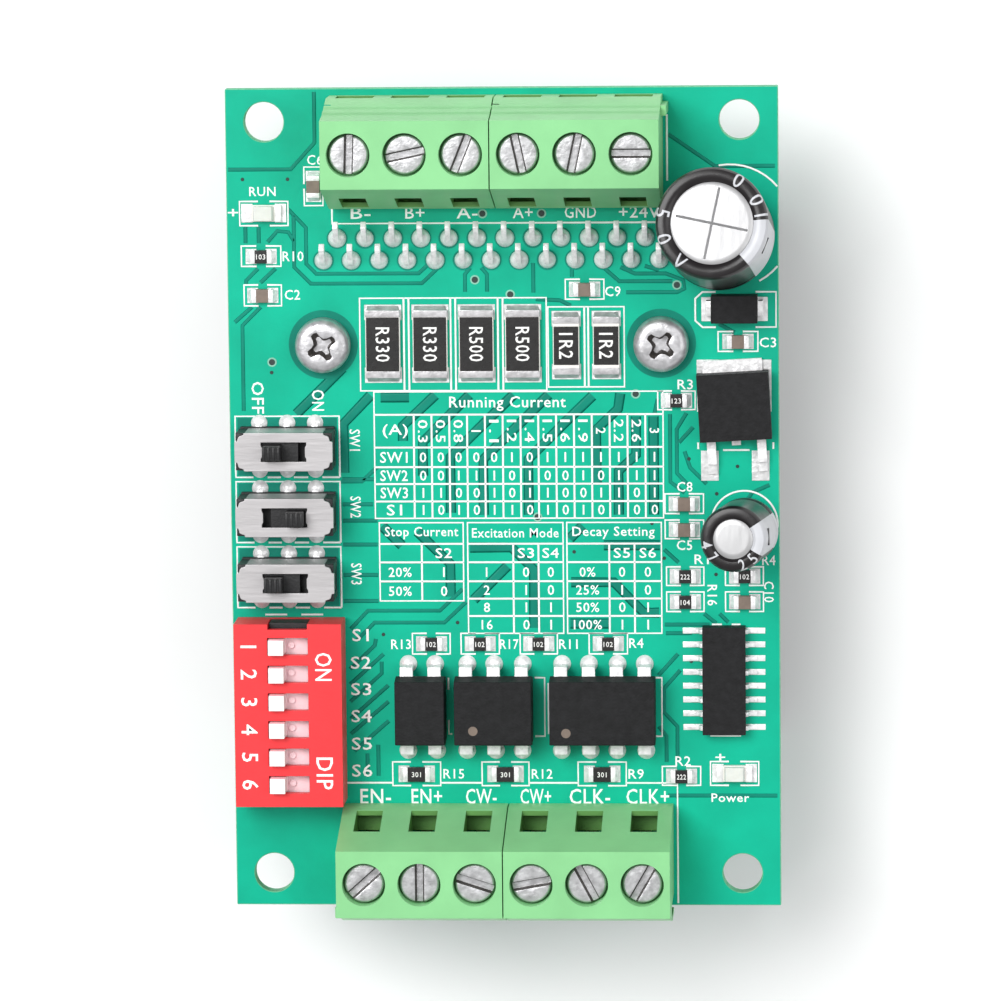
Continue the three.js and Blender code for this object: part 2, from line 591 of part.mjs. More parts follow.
function terminalScrew(slotAngle) {
  const shank = SHANK_DIAMETER / 2;
  const head = HEAD_DIAMETER / 2;
  const top = HEAD_BOTTOM + HEAD_HEIGHT;
  const body = turned(
    [
      [0, SHANK_BOTTOM],
      [shank, SHANK_BOTTOM],
      [shank, HEAD_BOTTOM],
      [head, HEAD_BOTTOM],
      [head, top - HEAD_EDGE],
      [head - HEAD_EDGE, top],
      [0, top],
    ],
    16,
  );
  const slot = boxOn(0, 0, top - SLOT_DEPTH, 2 * HEAD_DIAMETER, SLOT_WIDTH, SLOT_DEPTH + PAST);
  return body.subtract(slot.rotate([0, 0, slotAngle]));
}

function clampCage() {
  const half = CAGE_WIDTH / 2;
  const outer = boxOn(0, 0, CAGE_LIFT_OFF, CAGE_WIDTH, CAGE_DEPTH, CAGE_HEIGHT);
  const inner = block(
    -half + CAGE_WALL,
    half - CAGE_WALL,
    -CAGE_DEPTH,
    CAGE_DEPTH,
    CAGE_LIFT_OFF + CAGE_FLOOR,
    CAGE_TOP - CAGE_ROOF,
  );
  const thread = post(0, 0, SHANK_BOTTOM - TIP_REACH, CAGE_TOP + PAST, SHANK_HOLE, 12);
  return outer.subtract(inner).subtract(thread);
}

// A pair of blocks side by side, with the screws' slots at the given angles from +X.
function terminalRow(row, turned180, blockNames, poles) {
  const turn = turned180 ? 180 : 0;
  const pitch = BLOCK_LENGTH + BLOCK_GAP;
  blockNames.forEach((blockName, b) => {
    const centre = row.x + (b - 0.5) * pitch;
    const housing = terminalBlock().rotate([0, 0, turn]);
    place("terminal_housing_" + blockName, housing, terminalGreen, centre, row.y, BOARD_TOP);
    poleOffsets.forEach((offset, p) => {
      const [name, slotAngle] = poles[b * POLES + p];
      const x = centre + offset;
      place("terminal_screw_" + name, terminalScrew(slotAngle), zincSteel, x, row.y, BOARD_TOP);
      place("clamp_cage_" + name, clampCage(), tinnedBrass, x, row.y, BOARD_TOP);
    });
  });
}

// ---- DIP switch ---------------------------------------------------------------------
const dipWayYs = Array.from(
  { length: DIP_WAYS },
  (_, i) => ((DIP_WAYS - 1) / 2 - i) * DIP_PITCH,
);
const dipRoofBottom = DIP_HEIGHT - DIP_ROOF;
const dipPocketLength = DIP_SKIRT_LENGTH + DIP_TRAVEL + 2 * DIP_CLEARANCE;
const dipPocketDepth = DIP_SKIRT_HEIGHT + DIP_STEM_DROP + 2 * DIP_CLEARANCE;
const dipBaseTop = dipRoofBottom - DIP_CLEARANCE;

function dipCover() {
  const width = DIP_WIDTH - 2 * DIP_WALL;
  const cavity = boxOn(0, 0, -PAST, width, DIP_LENGTH - 2 * DIP_WALL, PAST + dipRoofBottom);
  const notch = boxOn(0, DIP_LENGTH / 2, DIP_NOTCH_BOTTOM, DIP_NOTCH_WIDTH, 2 * DIP_WALL, DIP_HEIGHT);
  const slots = dipWayYs.map((y) =>
    boxOn(0, y, dipRoofBottom - PAST, DIP_SLOT_LENGTH, DIP_SLOT_WIDTH, DIP_ROOF + 2 * PAST),
  );
  const shell = boxOn(0, 0, DIP_FOOT, DIP_WIDTH, DIP_LENGTH, DIP_HEIGHT - DIP_FOOT);
  const body = shell.subtract(joined([cavity, notch, ...slots]));
  place("dip_switch_cover", body, dipRed, DIP_X, DIP_Y, BOARD_TOP);
}

function dipBase() {
  const width = DIP_WIDTH - 2 * DIP_WALL - 2 * DIP_CLEARANCE;
  const length = DIP_LENGTH - 2 * DIP_WALL - 2 * DIP_CLEARANCE;
  const foot = boxOn(
    0,
    0,
    0,
    DIP_WIDTH - 2 * DIP_FOOT_INSET,
    DIP_LENGTH - 2 * DIP_FOOT_INSET,
    DIP_FOOT - DIP_CLEARANCE,
  );
  const body = foot.add(boxOn(0, 0, 0, width, length, dipBaseTop));
  const pockets = dipWayYs.map((y) =>
    boxOn(
      0,
      y,
      dipBaseTop - dipPocketDepth,
      dipPocketLength,
      DIP_SKIRT_WIDTH + 2 * DIP_CLEARANCE,
      dipPocketDepth + PAST,
    ),
  );
  place("dip_switch_base", body.subtract(joined(pockets)), blackPlastic, DIP_X, DIP_Y, BOARD_TOP);
}

// A slider in its off place, at the left end of its slot.
function dipSlider(way) {
  const skirtBottom = dipBaseTop - DIP_CLEARANCE - DIP_SKIRT_HEIGHT;
  const knobHeight = DIP_HEIGHT + DIP_KNOB_RISE - skirtBottom;
  const body = joined([
    boxOn(0, 0, skirtBottom, DIP_SKIRT_LENGTH, DIP_SKIRT_WIDTH, DIP_SKIRT_HEIGHT),
    boxOn(0, 0, skirtBottom, DIP_KNOB, DIP_KNOB, knobHeight),
    boxOn(0, 0, skirtBottom - DIP_STEM_DROP, DIP_STEM_LENGTH, DIP_KNOB, 2 * DIP_STEM_DROP),
  ]);
  const x = DIP_X - DIP_TRAVEL / 2;
  place("dip_slider_" + (way + 1), body, dipWhite, x, DIP_Y + dipWayYs[way], BOARD_TOP);
}

// ---- slide switches -----------------------------------------------------------------
const slideSheetBottom = SLIDE_HEIGHT - SLIDE_SHEET;
const slideBaseTop = slideSheetBottom - SLIDE_BASE_GAP;
const slidePocketLength = SLIDE_CARRIAGE_LENGTH + SLIDE_TRAVEL + 2 * SLIDE_CLEARANCE;
const slidePocketDepth = SLIDE_CARRIAGE_HEIGHT + 2 * SLIDE_CLEARANCE;

function slideFrame() {
  const { notch, step } = SLIDE_CORNER;
  const halfLength = SLIDE_LENGTH / 2;
  const halfWidth = SLIDE_WIDTH / 2;
  const corner = [
    [halfLength, halfWidth - notch],
    [halfLength - step, halfWidth - step],
    [halfLength - notch, halfWidth],
  ];
  const top = new THREE.Shape([
    ...corner.map(([x, y]) => new THREE.Vector2(x, y)),
    ...corner.map(([x, y]) => new THREE.Vector2(-x, y)).reverse(),
    ...corner.map(([x, y]) => new THREE.Vector2(-x, -y)),
    ...corner.map(([x, y]) => new THREE.Vector2(x, -y)).reverse(),
  ]);
  const halfSlot = SLIDE_SLOT_LENGTH / 2;
  const halfOpening = SLIDE_SLOT_WIDTH / 2;
  top.holes.push(
    new THREE.Path([
      new THREE.Vector2(-halfSlot, -halfOpening),
      new THREE.Vector2(halfSlot, -halfOpening),
      new THREE.Vector2(halfSlot, halfOpening),
      new THREE.Vector2(-halfSlot, halfOpening),
    ]),
  );
  const sideLength = SLIDE_LENGTH - 2 * notch;
  const sideY = halfWidth - SLIDE_SHEET / 2;
  const sideHeight = SLIDE_HEIGHT - SLIDE_FOOT;
  return joined([
    solid(plate(top, slideSheetBottom, SLIDE_HEIGHT)),
    boxOn(0, sideY, SLIDE_FOOT, sideLength, SLIDE_SHEET, sideHeight),
    boxOn(0, -sideY, SLIDE_FOOT, sideLength, SLIDE_SHEET, sideHeight),
  ]);
}

function slideBase() {
  const footHeight = SLIDE_FOOT - SLIDE_BASE_GAP;
  const foot = boxOn(0, 0, 0, SLIDE_BASE_LENGTH, SLIDE_FOOT_WIDTH, footHeight);
  const pocket = boxOn(
    0,
    0,
    slideBaseTop - slidePocketDepth,
    slidePocketLength,
    SLIDE_CARRIAGE_WIDTH + 2 * SLIDE_CLEARANCE,
    slidePocketDepth + PAST,
  );
  const body = boxOn(0, 0, 0, SLIDE_BASE_LENGTH, SLIDE_BASE_WIDTH, slideBaseTop);
  return foot.add(body).subtract(pocket);
}

function slideKnob() {
  const carriageBottom = slideBaseTop - SLIDE_CLEARANCE - SLIDE_CARRIAGE_HEIGHT;
  const knobHeight = SLIDE_HEIGHT + SLIDE_KNOB_RISE - carriageBottom;
  return joined([
    boxOn(0, 0, carriageBottom, SLIDE_CARRIAGE_LENGTH, SLIDE_CARRIAGE_WIDTH, SLIDE_CARRIAGE_HEIGHT),
    boxOn(0, 0, carriageBottom, SLIDE_KNOB_LENGTH, SLIDE_KNOB_WIDTH, knobHeight),
  ]);
}

// side is -1 where the knob stands at the left end of its slot, and 1 at the right end.
function slideSwitch(number, side) {
  const y = SLIDE_LAST_Y + (SLIDE_SWITCHES - number) * SLIDE_SPACING;
  const knobX = SLIDE_X + (side * SLIDE_TRAVEL) / 2;
  const name = "slide_switch_" + number;
  place(name + "_base", slideBase(), blackPlastic, SLIDE_X, y, BOARD_TOP);
  place(name + "_frame", slideFrame(), nickelSheet, SLIDE_X, y, BOARD_TOP);
  place(name + "_knob", slideKnob(), blackPlastic, knobX, y, BOARD_TOP);
}

// ---- capacitors ---------------------------------------------------------------------
// The can leans away from upright; its leads stay straight in the board.
function capacitor(name, can) {
  const radius = can.diameter / 2;
  const groove = CAPACITOR_GROOVE;
  const rim = radius - CAPACITOR_RIM;
  const crownZ = can.length - CAPACITOR_CROWN.drop;
  const body = turned(
    [
      [0, 0],
      [rim, 0],
      [radius, CAPACITOR_FOOT_EDGE],
      [radius, groove.height - groove.half],
      [radius - groove.depth, groove.height],
      [radius, groove.height + groove.half],
      [radius, can.length - CAPACITOR_RIM],
      [radius - CAPACITOR_EDGE.inset, can.length - CAPACITOR_EDGE.drop],
      [rim, can.length],
      [rim - CAPACITOR_CROWN.width, crownZ],
      [0, crownZ],
    ],
    28,
  );
  const along = new THREE.Vector3(can.leanX, can.leanY, can.standoff + can.length);
  const tilt = new THREE.Quaternion().setFromUnitVectors(
    new THREE.Vector3(0, 0, 1),
    along.clone().normalize(),
  );
  const turn = new THREE.Matrix4().makeRotationFromQuaternion(tilt);
  turn.setPosition(can.x, can.y, BOARD_TOP + can.standoff);
  const tail = BOARD_BOTTOM - CAPACITOR_LEAD_TAIL;
  const leadTop = BOARD_TOP + can.standoff + CAPACITOR_LEAD_ROOT;
  const leads = capacitorLeadPlaces(can).map(({ x, y }) =>
    post(x, y, tail, leadTop, CAPACITOR_LEAD_DIAMETER, 6),
  );
  place(name, joined([body.transform(turn.elements), ...leads]), capacitorSleeve);
}

// ---- small electronics --------------------------------------------------------------
// An optocoupler's body, with leads down its two long sides to the board.
function optocoupler({ name, x, pins }) {
  const draft = OPTOCOUPLER_DRAFT;
  const bottom = OPTOCOUPLER_STANDOFF;
  const middle = bottom + OPTOCOUPLER_HEIGHT / 2;
  const top = bottom + OPTOCOUPLER_HEIGHT;
  const half = OPTOCOUPLER_DEPTH / 2;
  const section = [
    [half - draft, bottom],
    [half, middle],
    [half - draft, top],
    [-half + draft, top],
    [-half, middle],
    [-half + draft, bottom],
  ];
  const perSide = pins / 2;
  const length = (perSide - 1) * LEAD_PITCH + 2 * OPTOCOUPLER_END;
  const feetY = half + OPTOCOUPLER_LEAD_REACH;
  const halfSheet = OPTOCOUPLER_LEAD.thickness / 2;
  const halfLead = OPTOCOUPLER_LEAD.width / 2;
  const leads = [];
  for (let i = 0; i < perSide; i += 1) {
    const leadX = (i - (perSide - 1) / 2) * LEAD_PITCH;
    for (const side of [-1, 1]) {
      const lead = [
        [side * (half - LEAD_ROOT), middle - halfSheet],
        [side * (feetY - halfSheet), middle - halfSheet],
        [side * (feetY - halfSheet), 0],
        [side * (feetY + halfSheet), 0],
        [side * (feetY + halfSheet), middle + halfSheet],
        [side * (half - LEAD_ROOT), middle + halfSheet],
      ];
      leads.push(barAlongX(side > 0 ? lead.reverse() : lead, leadX - halfLead, leadX + halfLead));
    }
  }
  const body = joined([barAlongX(section, -length / 2, length / 2), ...leads]);
  place(name, body, mouldedEpoxy, x, OPTOCOUPLER_Y, BOARD_TOP);
}

function logicChip() {
  const { x, y, width, height, standoff, pins, end } = LOGIC_CHIP;
  const { pitch, thickness, reach, foot, exit, root } = LOGIC_LEAD;
  const perSide = pins / 2;
  const toe = width / 2 + reach;
  const heel = toe - foot;
  const slope = thickness / 4;
  const leads = [];
  for (let i = 0; i < perSide; i += 1) {
    const leadY = (i - (perSide - 1) / 2) * pitch;
    for (const side of [-1, 1]) {
      const lead = [
        [side * (width / 2 - root), exit],
        [side * (heel - thickness), exit],
        [side * heel, 0],
        [side * toe, 0],
        [side * toe, thickness],
        [side * (heel + thickness - slope), thickness],
        [side * (heel - slope), exit + thickness],
        [side * (width / 2 - root), exit + thickness],
      ];
      const from = leadY - LOGIC_LEAD.width / 2;
      leads.push(barAlongY(side > 0 ? lead : lead.reverse(), from, from + LOGIC_LEAD.width));
    }
  }
  const length = perSide * pitch - 2 * (pitch / 2 - end);
  const body = joined([boxOn(0, 0, standoff, width, length, height), ...leads]);
  place("logic_chip", body, mouldedEpoxy, x, y, BOARD_TOP);
}

function voltageRegulator() {
  const { x, y, turn, width, length, height } = REGULATOR;
  const leg = REGULATOR_LEG;
  const tab = REGULATOR_TAB;
  const halfWidth = width / 2;
  const edge = -length / 2;
  const top = leg.exit + leg.thickness;
  const legSection = [
    [edge + tab.root, top],
    [edge + tab.root, leg.exit],
    [edge - leg.bend + leg.thickness, leg.exit],
    [edge - leg.bend + leg.thickness, 0],
    [edge - leg.reach, 0],
    [edge - leg.reach, leg.thickness],
    [edge - leg.bend, leg.thickness],
    [edge - leg.bend, top],
  ].reverse();
  const legs = [-leg.x, leg.x].map((legX) =>
    barAlongX(legSection, legX - leg.width / 2, legX + leg.width / 2),
  );
  const halfStub = leg.width / 2;
  const body = joined([
    boxOn(0, 0, 0, width, length, height),
    block(
      -halfWidth + tab.side,
      halfWidth - tab.side,
      -edge - tab.root,
      -edge + tab.reach,
      0,
      tab.thickness,
    ),
    block(-halfStub, halfStub, edge - REGULATOR_STUB, edge + tab.root, leg.exit, top),
    ...legs,
  ]);
  place("voltage_regulator", body.rotate([0, 0, turn]), mouldedEpoxy, x, y, BOARD_TOP);
}

function diode() {
  const { x, y, width, length, height, standoff } = DIODE;
  const tab = DIODE_TAB;
  const tabX = width / 2 + (tab.reach - tab.root) / 2;
  const body = joined([
    boxOn(0, 0, standoff, width, length, height),
    boxOn(-tabX, 0, 0, tab.reach + tab.root, tab.width, tab.height),
    boxOn(tabX, 0, 0, tab.reach + tab.root, tab.width, tab.height),
  ]);
  place("protection_diode", body, mouldedEpoxy, x, y, BOARD_TOP);
}

function indicator(name, { x, y }) {
  const { foot, top, height, inset, root } = LED_LENS;
  const substrate = boxOn(0, 0, 0, LED_LENGTH, LED_WIDTH, LED_SUBSTRATE);
  const section = [
    [-foot, LED_SUBSTRATE - root],
    [foot, LED_SUBSTRATE - root],
    [top, height],
    [-top, height],
  ];
  const lens = barAlongY(section, -LED_WIDTH / 2 + inset, LED_WIDTH / 2 - inset);
  place(name, substrate.add(lens), diffusedLens, x, y, BOARD_TOP);
}

// ---- assembly -----------------------------------------------------------------------
board();
heatSink();
driverChip();
clampScrew("left", chipScrewXs[0]);
clampScrew("right", chipScrewXs[1]);

terminalRow(BACK_ROW, true, ["back_left", "back_right"], [
  ["b_minus", 88],
  ["b_plus", 12],
  ["a_minus", 68],
  ["a_plus", 102],
  ["ground", 78],
  ["supply", 0],
]);
terminalRow(FRONT_ROW, false, ["front_left", "front_right"], [
  ["enable_minus", 42],
  ["enable_plus", 90],
  ["direction_minus", -18],
  ["direction_plus", 10],
  ["pulse_minus", -62],
  ["pulse_plus", 60],
]);

dipBase();
dipCover();
dipWayYs.forEach((_, way) => dipSlider(way));

slideSwitch(1, -1);
slideSwitch(2, 1);
slideSwitch(3, -1);

capacitor("supply_capacitor", SUPPLY_CAPACITOR);
capacitor("output_capacitor", OUTPUT_CAPACITOR);
OPTOCOUPLERS.forEach(optocoupler);
logicChip();
voltageRegulator();
diode();
indicator("run_led", RUN_LED);
indicator("power_led", POWER_LED);

export default stepperDriver;
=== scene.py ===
"""Stepper driver module: the finished looks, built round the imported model."""
import math

import bmesh
import bpy
from mathutils import Matrix, Vector


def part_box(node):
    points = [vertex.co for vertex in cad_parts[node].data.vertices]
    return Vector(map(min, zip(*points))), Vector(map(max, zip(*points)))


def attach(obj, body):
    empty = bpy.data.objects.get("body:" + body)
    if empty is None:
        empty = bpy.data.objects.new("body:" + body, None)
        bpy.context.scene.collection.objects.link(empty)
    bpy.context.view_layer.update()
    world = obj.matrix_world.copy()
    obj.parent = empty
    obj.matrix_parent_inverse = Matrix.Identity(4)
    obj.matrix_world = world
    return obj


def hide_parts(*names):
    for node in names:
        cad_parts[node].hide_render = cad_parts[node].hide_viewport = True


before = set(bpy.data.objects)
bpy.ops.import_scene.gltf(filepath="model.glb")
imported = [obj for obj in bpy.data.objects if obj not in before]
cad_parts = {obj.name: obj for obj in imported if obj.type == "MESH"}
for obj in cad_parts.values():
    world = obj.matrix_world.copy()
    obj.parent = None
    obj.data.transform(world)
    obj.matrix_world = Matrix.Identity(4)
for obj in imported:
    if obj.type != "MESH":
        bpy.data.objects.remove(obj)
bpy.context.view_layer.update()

# Pieces are modelled in millimetres, from the middle of the board's top face, and made metres at the end.
MM = 0.001
BOARD_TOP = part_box("circuit_board")[1].z
TO_FRAME = Matrix.Translation((0, 0, BOARD_TOP)) @ Matrix.Scale(MM, 4)
FROM_FRAME = TO_FRAME.inverted()
SHARP = math.radians(30)
CAPITAL_SHARE = 0.70  # height of a capital over the size of its type
HALF_TURN = Matrix.Rotation(math.pi, 4, "Z")

POLES_BACK = ("b_minus", "b_plus", "a_minus", "a_plus", "ground", "supply")
POLES_FRONT = ("enable_minus", "enable_plus", "direction_minus", "direction_plus", "pulse_minus",
               "pulse_plus")


# ---- camera, light and floor ---------------------------------------------------------
def camera():
    data = bpy.data.cameras.new("camera")
    data.lens = 224.62
    data.sensor_width = 36
    data.clip_start = 0.05
    data.clip_end = 5
    eye = bpy.data.objects.new("camera", data)
    axes = (
        (0.99819854, 0.0019964, 0.05996401),
        (-0.00981568, 0.99141412, 0.13039058),
        (-0.05918885, -0.13074428, 0.98964772),
    )
    eye.matrix_world = Matrix.Translation((0.033703, 0.074015, 0.58063)) @ Matrix(axes).to_4x4()
    bpy.context.scene.collection.objects.link(eye)
    bpy.context.scene.camera = eye


def softbox(name, place, size, power, target=(0, 0, 0.02)):
    data = bpy.data.lights.new(name, "AREA")
    data.shape = "RECTANGLE"
    data.size, data.size_y = size
    data.energy = power
    light = bpy.data.objects.new(name, data)
    light.location = place
    aim = Vector(target) - Vector(place)
    light.rotation_euler = aim.to_track_quat("-Z", "Y").to_euler()
    bpy.context.scene.collection.objects.link(light)


def studio():
    softbox("key_light", (-0.26, 0.26, 0.66), (0.40, 0.40), 4.5)
    softbox("fill_light", (0.45, 0.10, 0.55), (0.45, 0.45), 1.3)
    softbox("front_light", (0.0, -0.55, 0.40), (0.6, 0.3), 0.35)
    world = bpy.data.worlds.new("studio")
    world.use_nodes = True
    tree = world.node_tree
    sky = tree.nodes["Background"]
    place = tree.nodes.new("ShaderNodeTexCoord").outputs["Generated"]
    split = tree.nodes.new("ShaderNodeSeparateXYZ")
    tree.links.new(place, split.inputs["Vector"])
    ramp = tree.nodes.new("ShaderNodeValToRGB")
    ramp.color_ramp.elements[0].position = 0.05
    ramp.color_ramp.elements[0].color = (0.22, 0.22, 0.23, 1)
    ramp.color_ramp.elements[1].position = 0.95
    ramp.color_ramp.elements[1].color = (0.62, 0.62, 0.62, 1)
    tree.links.new(split.outputs["Z"], ramp.inputs["Fac"])
    tree.links.new(ramp.outputs["Color"], sky.inputs["Color"])
    bpy.context.scene.world = world
    bpy.context.scene.view_settings.view_transform = "Standard"


def floor():
    bm = bmesh.new()
    bmesh.ops.create_grid(bm, x_segments=1, y_segments=1, size=2.5)
    mesh = bpy.data.meshes.new("studio_floor")
    bm.to_mesh(mesh)
    bm.free()
    ground = bpy.data.objects.new("studio_floor", mesh)
    ground.location.z = -0.0002
    mesh.materials.append(finish("floor_paper", (0.93, 0.93, 0.93), 0.9, mottle=(0.01, 40)))
    bpy.context.scene.collection.objects.link(ground)


# ---- materials -----------------------------------------------------------------------
def finish(name, colour, roughness, metallic=0.0, mottle=(0.06, 400), grain=(0.05, 6000), stretch=(1, 1, 1),
           smear=0.06, **sockets):
    """A procedural finish. mottle varies the colour, grain the surface and smear the roughness;
    the first number of each pair is its strength, the second its scale per metre."""
    made = bpy.data.materials.new(name)
    made.use_nodes = True
    tree = made.node_tree
    shader = tree.nodes["Principled BSDF"]
    place = tree.nodes.new("ShaderNodeTexCoord").outputs["Object"]
    mapping = tree.nodes.new("ShaderNodeMapping")
    mapping.inputs["Scale"].default_value = stretch
    tree.links.new(place, mapping.inputs["Vector"])

    def noise(scale, detail):
        node = tree.nodes.new("ShaderNodeTexNoise")
        node.inputs["Scale"].default_value = scale
        node.inputs["Detail"].default_value = detail
        tree.links.new(mapping.outputs["Vector"], node.inputs["Vector"])
        return node.outputs["Fac"]

    ramp = tree.nodes.new("ShaderNodeValToRGB")
    ramp.color_ramp.elements[0].position = 0.3
    ramp.color_ramp.elements[1].position = 0.7
    ramp.color_ramp.elements[0].color = (*(c * (1 - mottle[0]) for c in colour), 1)
    ramp.color_ramp.elements[1].color = (*(min(1, c * (1 + mottle[0])) for c in colour), 1)
    tree.links.new(noise(mottle[1], 5), ramp.inputs["Fac"])
    tree.links.new(ramp.outputs["Color"], shader.inputs["Base Color"])

    spread = tree.nodes.new("ShaderNodeMapRange")
    spread.inputs["To Min"].default_value = max(0, roughness - smear)
    spread.inputs["To Max"].default_value = min(1, roughness + smear)
    tree.links.new(noise(mottle[1] * 2.3, 4), spread.inputs["Value"])
    tree.links.new(spread.outputs["Result"], shader.inputs["Roughness"])

    bump = tree.nodes.new("ShaderNodeBump")
    bump.inputs["Strength"].default_value = grain[0]
    bump.inputs["Distance"].default_value = 0.0001
    tree.links.new(noise(grain[1], 3), bump.inputs["Height"])
    tree.links.new(bump.outputs["Normal"], shader.inputs["Normal"])

    shader.inputs["Metallic"].default_value = metallic
    for socket, value in sockets.items():
        shader.inputs[socket.replace("_", " ")].default_value = value
    return made


def make_finishes():
    return {
        "mask": finish("solder_mask", (0.002, 0.42, 0.265), 0.40, mottle=(0.10, 180), grain=(0.12, 2500),
                       Coat_Weight=0.04, Coat_Roughness=0.25, Specular_IOR_Level=0.15),
        "mask_dark": finish("solder_mask_over_laminate", (0.002, 0.215, 0.15), 0.40, mottle=(0.14, 260),
                            grain=(0.12, 2500), Coat_Weight=0.04, Coat_Roughness=0.25,
                            Specular_IOR_Level=0.15),
        "rim": finish("via_rim", (0.22, 0.50, 0.38), 0.40, mottle=(0.14, 900), grain=(0.1, 2500)),
        "laminate": finish("glass_laminate_edge", (0.14, 0.50, 0.28), 0.6, mottle=(0.2, 3000),
                           grain=(0.3, 9000), stretch=(1, 1, 4)),
        "silk": finish("white_screen_print", (0.93, 0.95, 0.93), 0.6, mottle=(0.05, 2500),
                       grain=(0.25, 9000)),
        "terminal": finish("green_nylon", (0.235, 0.585, 0.255), 0.42, mottle=(0.06, 250),
                           grain=(0.10, 5000), Specular_IOR_Level=0.35),
        # Darker copy of the green nylon for the faces inside the chambers, entries and windows: painted
        # shade.
        "terminal_painted_shade": finish("green_nylon_painted_shade", (0.085, 0.26, 0.05), 0.55, mottle=(0.10, 400),
                                  grain=(0.15, 4000)),
        "zinc": finish("zinc_plated_steel", (0.52, 0.515, 0.53), 0.40, 0.75, mottle=(0.24, 1300),
                       grain=(0.45, 2300), smear=0.14),
        # Dark copy of the zinc for the walls of the screw recesses and slots: painted shade.
        "zinc_shade": finish("zinc_painted_recess_shade", (0.085, 0.075, 0.07), 0.5, 0.5, mottle=(0.3, 1300),
                             grain=(0.4, 2300)),
        "pewter": finish("tinned_brass", (0.66, 0.60, 0.50), 0.36, 1.0, mottle=(0.10, 900),
                         grain=(0.2, 4000)),
        "solder": finish("bright_solder", (0.92, 0.91, 0.92), 0.32, 0.22, mottle=(0.24, 1700),
                         grain=(0.75, 2400), smear=0.14),
        "tin": finish("tinned_metal", (0.50, 0.49, 0.50), 0.38, 0.6, mottle=(0.22, 1400),
                      grain=(0.4, 2400), smear=0.12),
        "copper": finish("tinned_copper_pad", (0.70, 0.70, 0.70), 0.38, 0.5, mottle=(0.16, 1500),
                         grain=(0.5, 2600)),
        "red": finish("red_plastic", (0.80, 0.035, 0.042), 0.42, mottle=(0.06, 300), grain=(0.12, 5000),
                      Specular_IOR_Level=0.4),
        "white": finish("white_plastic", (0.90, 0.89, 0.88), 0.40, mottle=(0.03, 600), grain=(0.08, 5000)),
        # Pink copy of the white plastic for the rockers' lower parts down in the red cover's slots: painted
        # shade.
        "pink": finish("white_plastic_painted_pink_shade", (0.96, 0.76, 0.80), 0.5, mottle=(0.05, 600), grain=(0.08, 5000)),
        "black": finish("black_plastic", (0.013, 0.013, 0.014), 0.46, mottle=(0.25, 700), grain=(0.3, 5000),
                        Specular_IOR_Level=0.4),
        "nickel": finish("nickel_plated_sheet", (0.47, 0.455, 0.46), 0.46, 0.5, mottle=(0.06, 300),
                         grain=(0.25, 2500), stretch=(0.15, 1, 1), smear=0.10),
        "sleeve": finish("capacitor_sleeve", (0.008, 0.006, 0.007), 0.30, mottle=(0.2, 500),
                         grain=(0.12, 1200), Specular_IOR_Level=0.4),
        "stripe": finish("sleeve_stripe_print", (0.56, 0.57, 0.60), 0.35, mottle=(0.06, 500),
                         grain=(0.12, 1200)),
        "can": finish("drawn_aluminium", (0.47, 0.47, 0.475), 0.40, 0.7, mottle=(0.07, 500),
                      grain=(0.25, 1500), stretch=(1, 0.2, 1)),
        "epoxy": finish("moulded_epoxy", (0.010, 0.010, 0.011), 0.58, mottle=(0.35, 1600),
                        grain=(0.55, 5500), Specular_IOR_Level=0.22),
        "anodised": finish("black_anodised_aluminium", (0.045, 0.046, 0.050), 0.38, 0.85,
                           mottle=(0.15, 300), grain=(0.25, 3500), stretch=(1, 0.06, 1), smear=0.1),
        "ceramic": finish("resistor_glaze", (0.014, 0.013, 0.013), 0.28, mottle=(0.2, 900),
                          grain=(0.15, 2500)),
        "alumina": finish("alumina_body", (0.82, 0.80, 0.76), 0.5, mottle=(0.05, 1500),
                          grain=(0.2, 4000)),
        "tan": finish("capacitor_ceramic", (0.19, 0.145, 0.115), 0.42, mottle=(0.12, 1500),
                      grain=(0.15, 4000)),
        "print": finish("value_code_print", (0.88, 0.88, 0.86), 0.5, mottle=(0.06, 2500),
                        grain=(0.1, 5000)),
        "lens": finish("led_lens", (0.95, 0.94, 0.86), 0.12, mottle=(0.06, 1500), grain=(0.03, 2000),
                       Transmission_Weight=0.2, Subsurface_Weight=0.1),
        # Near-black discs for the via holes, which are not drilled: painted shade down the holes.
        "hole": finish("via_hole_painted_shade", (0.01, 0.03, 0.025), 0.5, mottle=(0.1, 1500), grain=(0.1, 3000)),
    }


# ---- mesh tools ----------------------------------------------------------------------
def corners(node):
    """The lowest and highest corners of a CAD node, in millimetres from the board's top face."""
    low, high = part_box(node)
    return FROM_FRAME @ low, FROM_FRAME @ high


def centre(node):
    low, high = corners(node)
    return (low + high) / 2


def add_box(bm, low, high, matrix=Matrix()):
    low, high = Vector(low), Vector(high)
    fit = Matrix.Translation((low + high) / 2) @ Matrix.Diagonal((*(high - low), 1))
    return bmesh.ops.create_cube(bm, size=1, matrix=matrix @ fit)["verts"]


def add_post(bm, x, y, z0, z1, diameter, top=None, sides=48):
    """An upright round bar, or a cone where top is another diameter."""
    wide = (diameter if top is None else top) / 2
    fit = Matrix.Translation((x, y, (z0 + z1) / 2))
    return bmesh.ops.create_cone(bm, cap_ends=True, segments=sides, radius1=diameter / 2, radius2=wide,
                                 depth=z1 - z0, matrix=fit)["verts"]


def add_prism(bm, outline, push):
    """A face through the outline's points, drawn out along push."""
    base = bm.faces.new([bm.verts.new(point) for point in outline])
    moved = bmesh.ops.extrude_face_region(bm, geom=[base])["geom"]
    bmesh.ops.translate(bm, verts=[v for v in moved if isinstance(v, bmesh.types.BMVert)], vec=push)


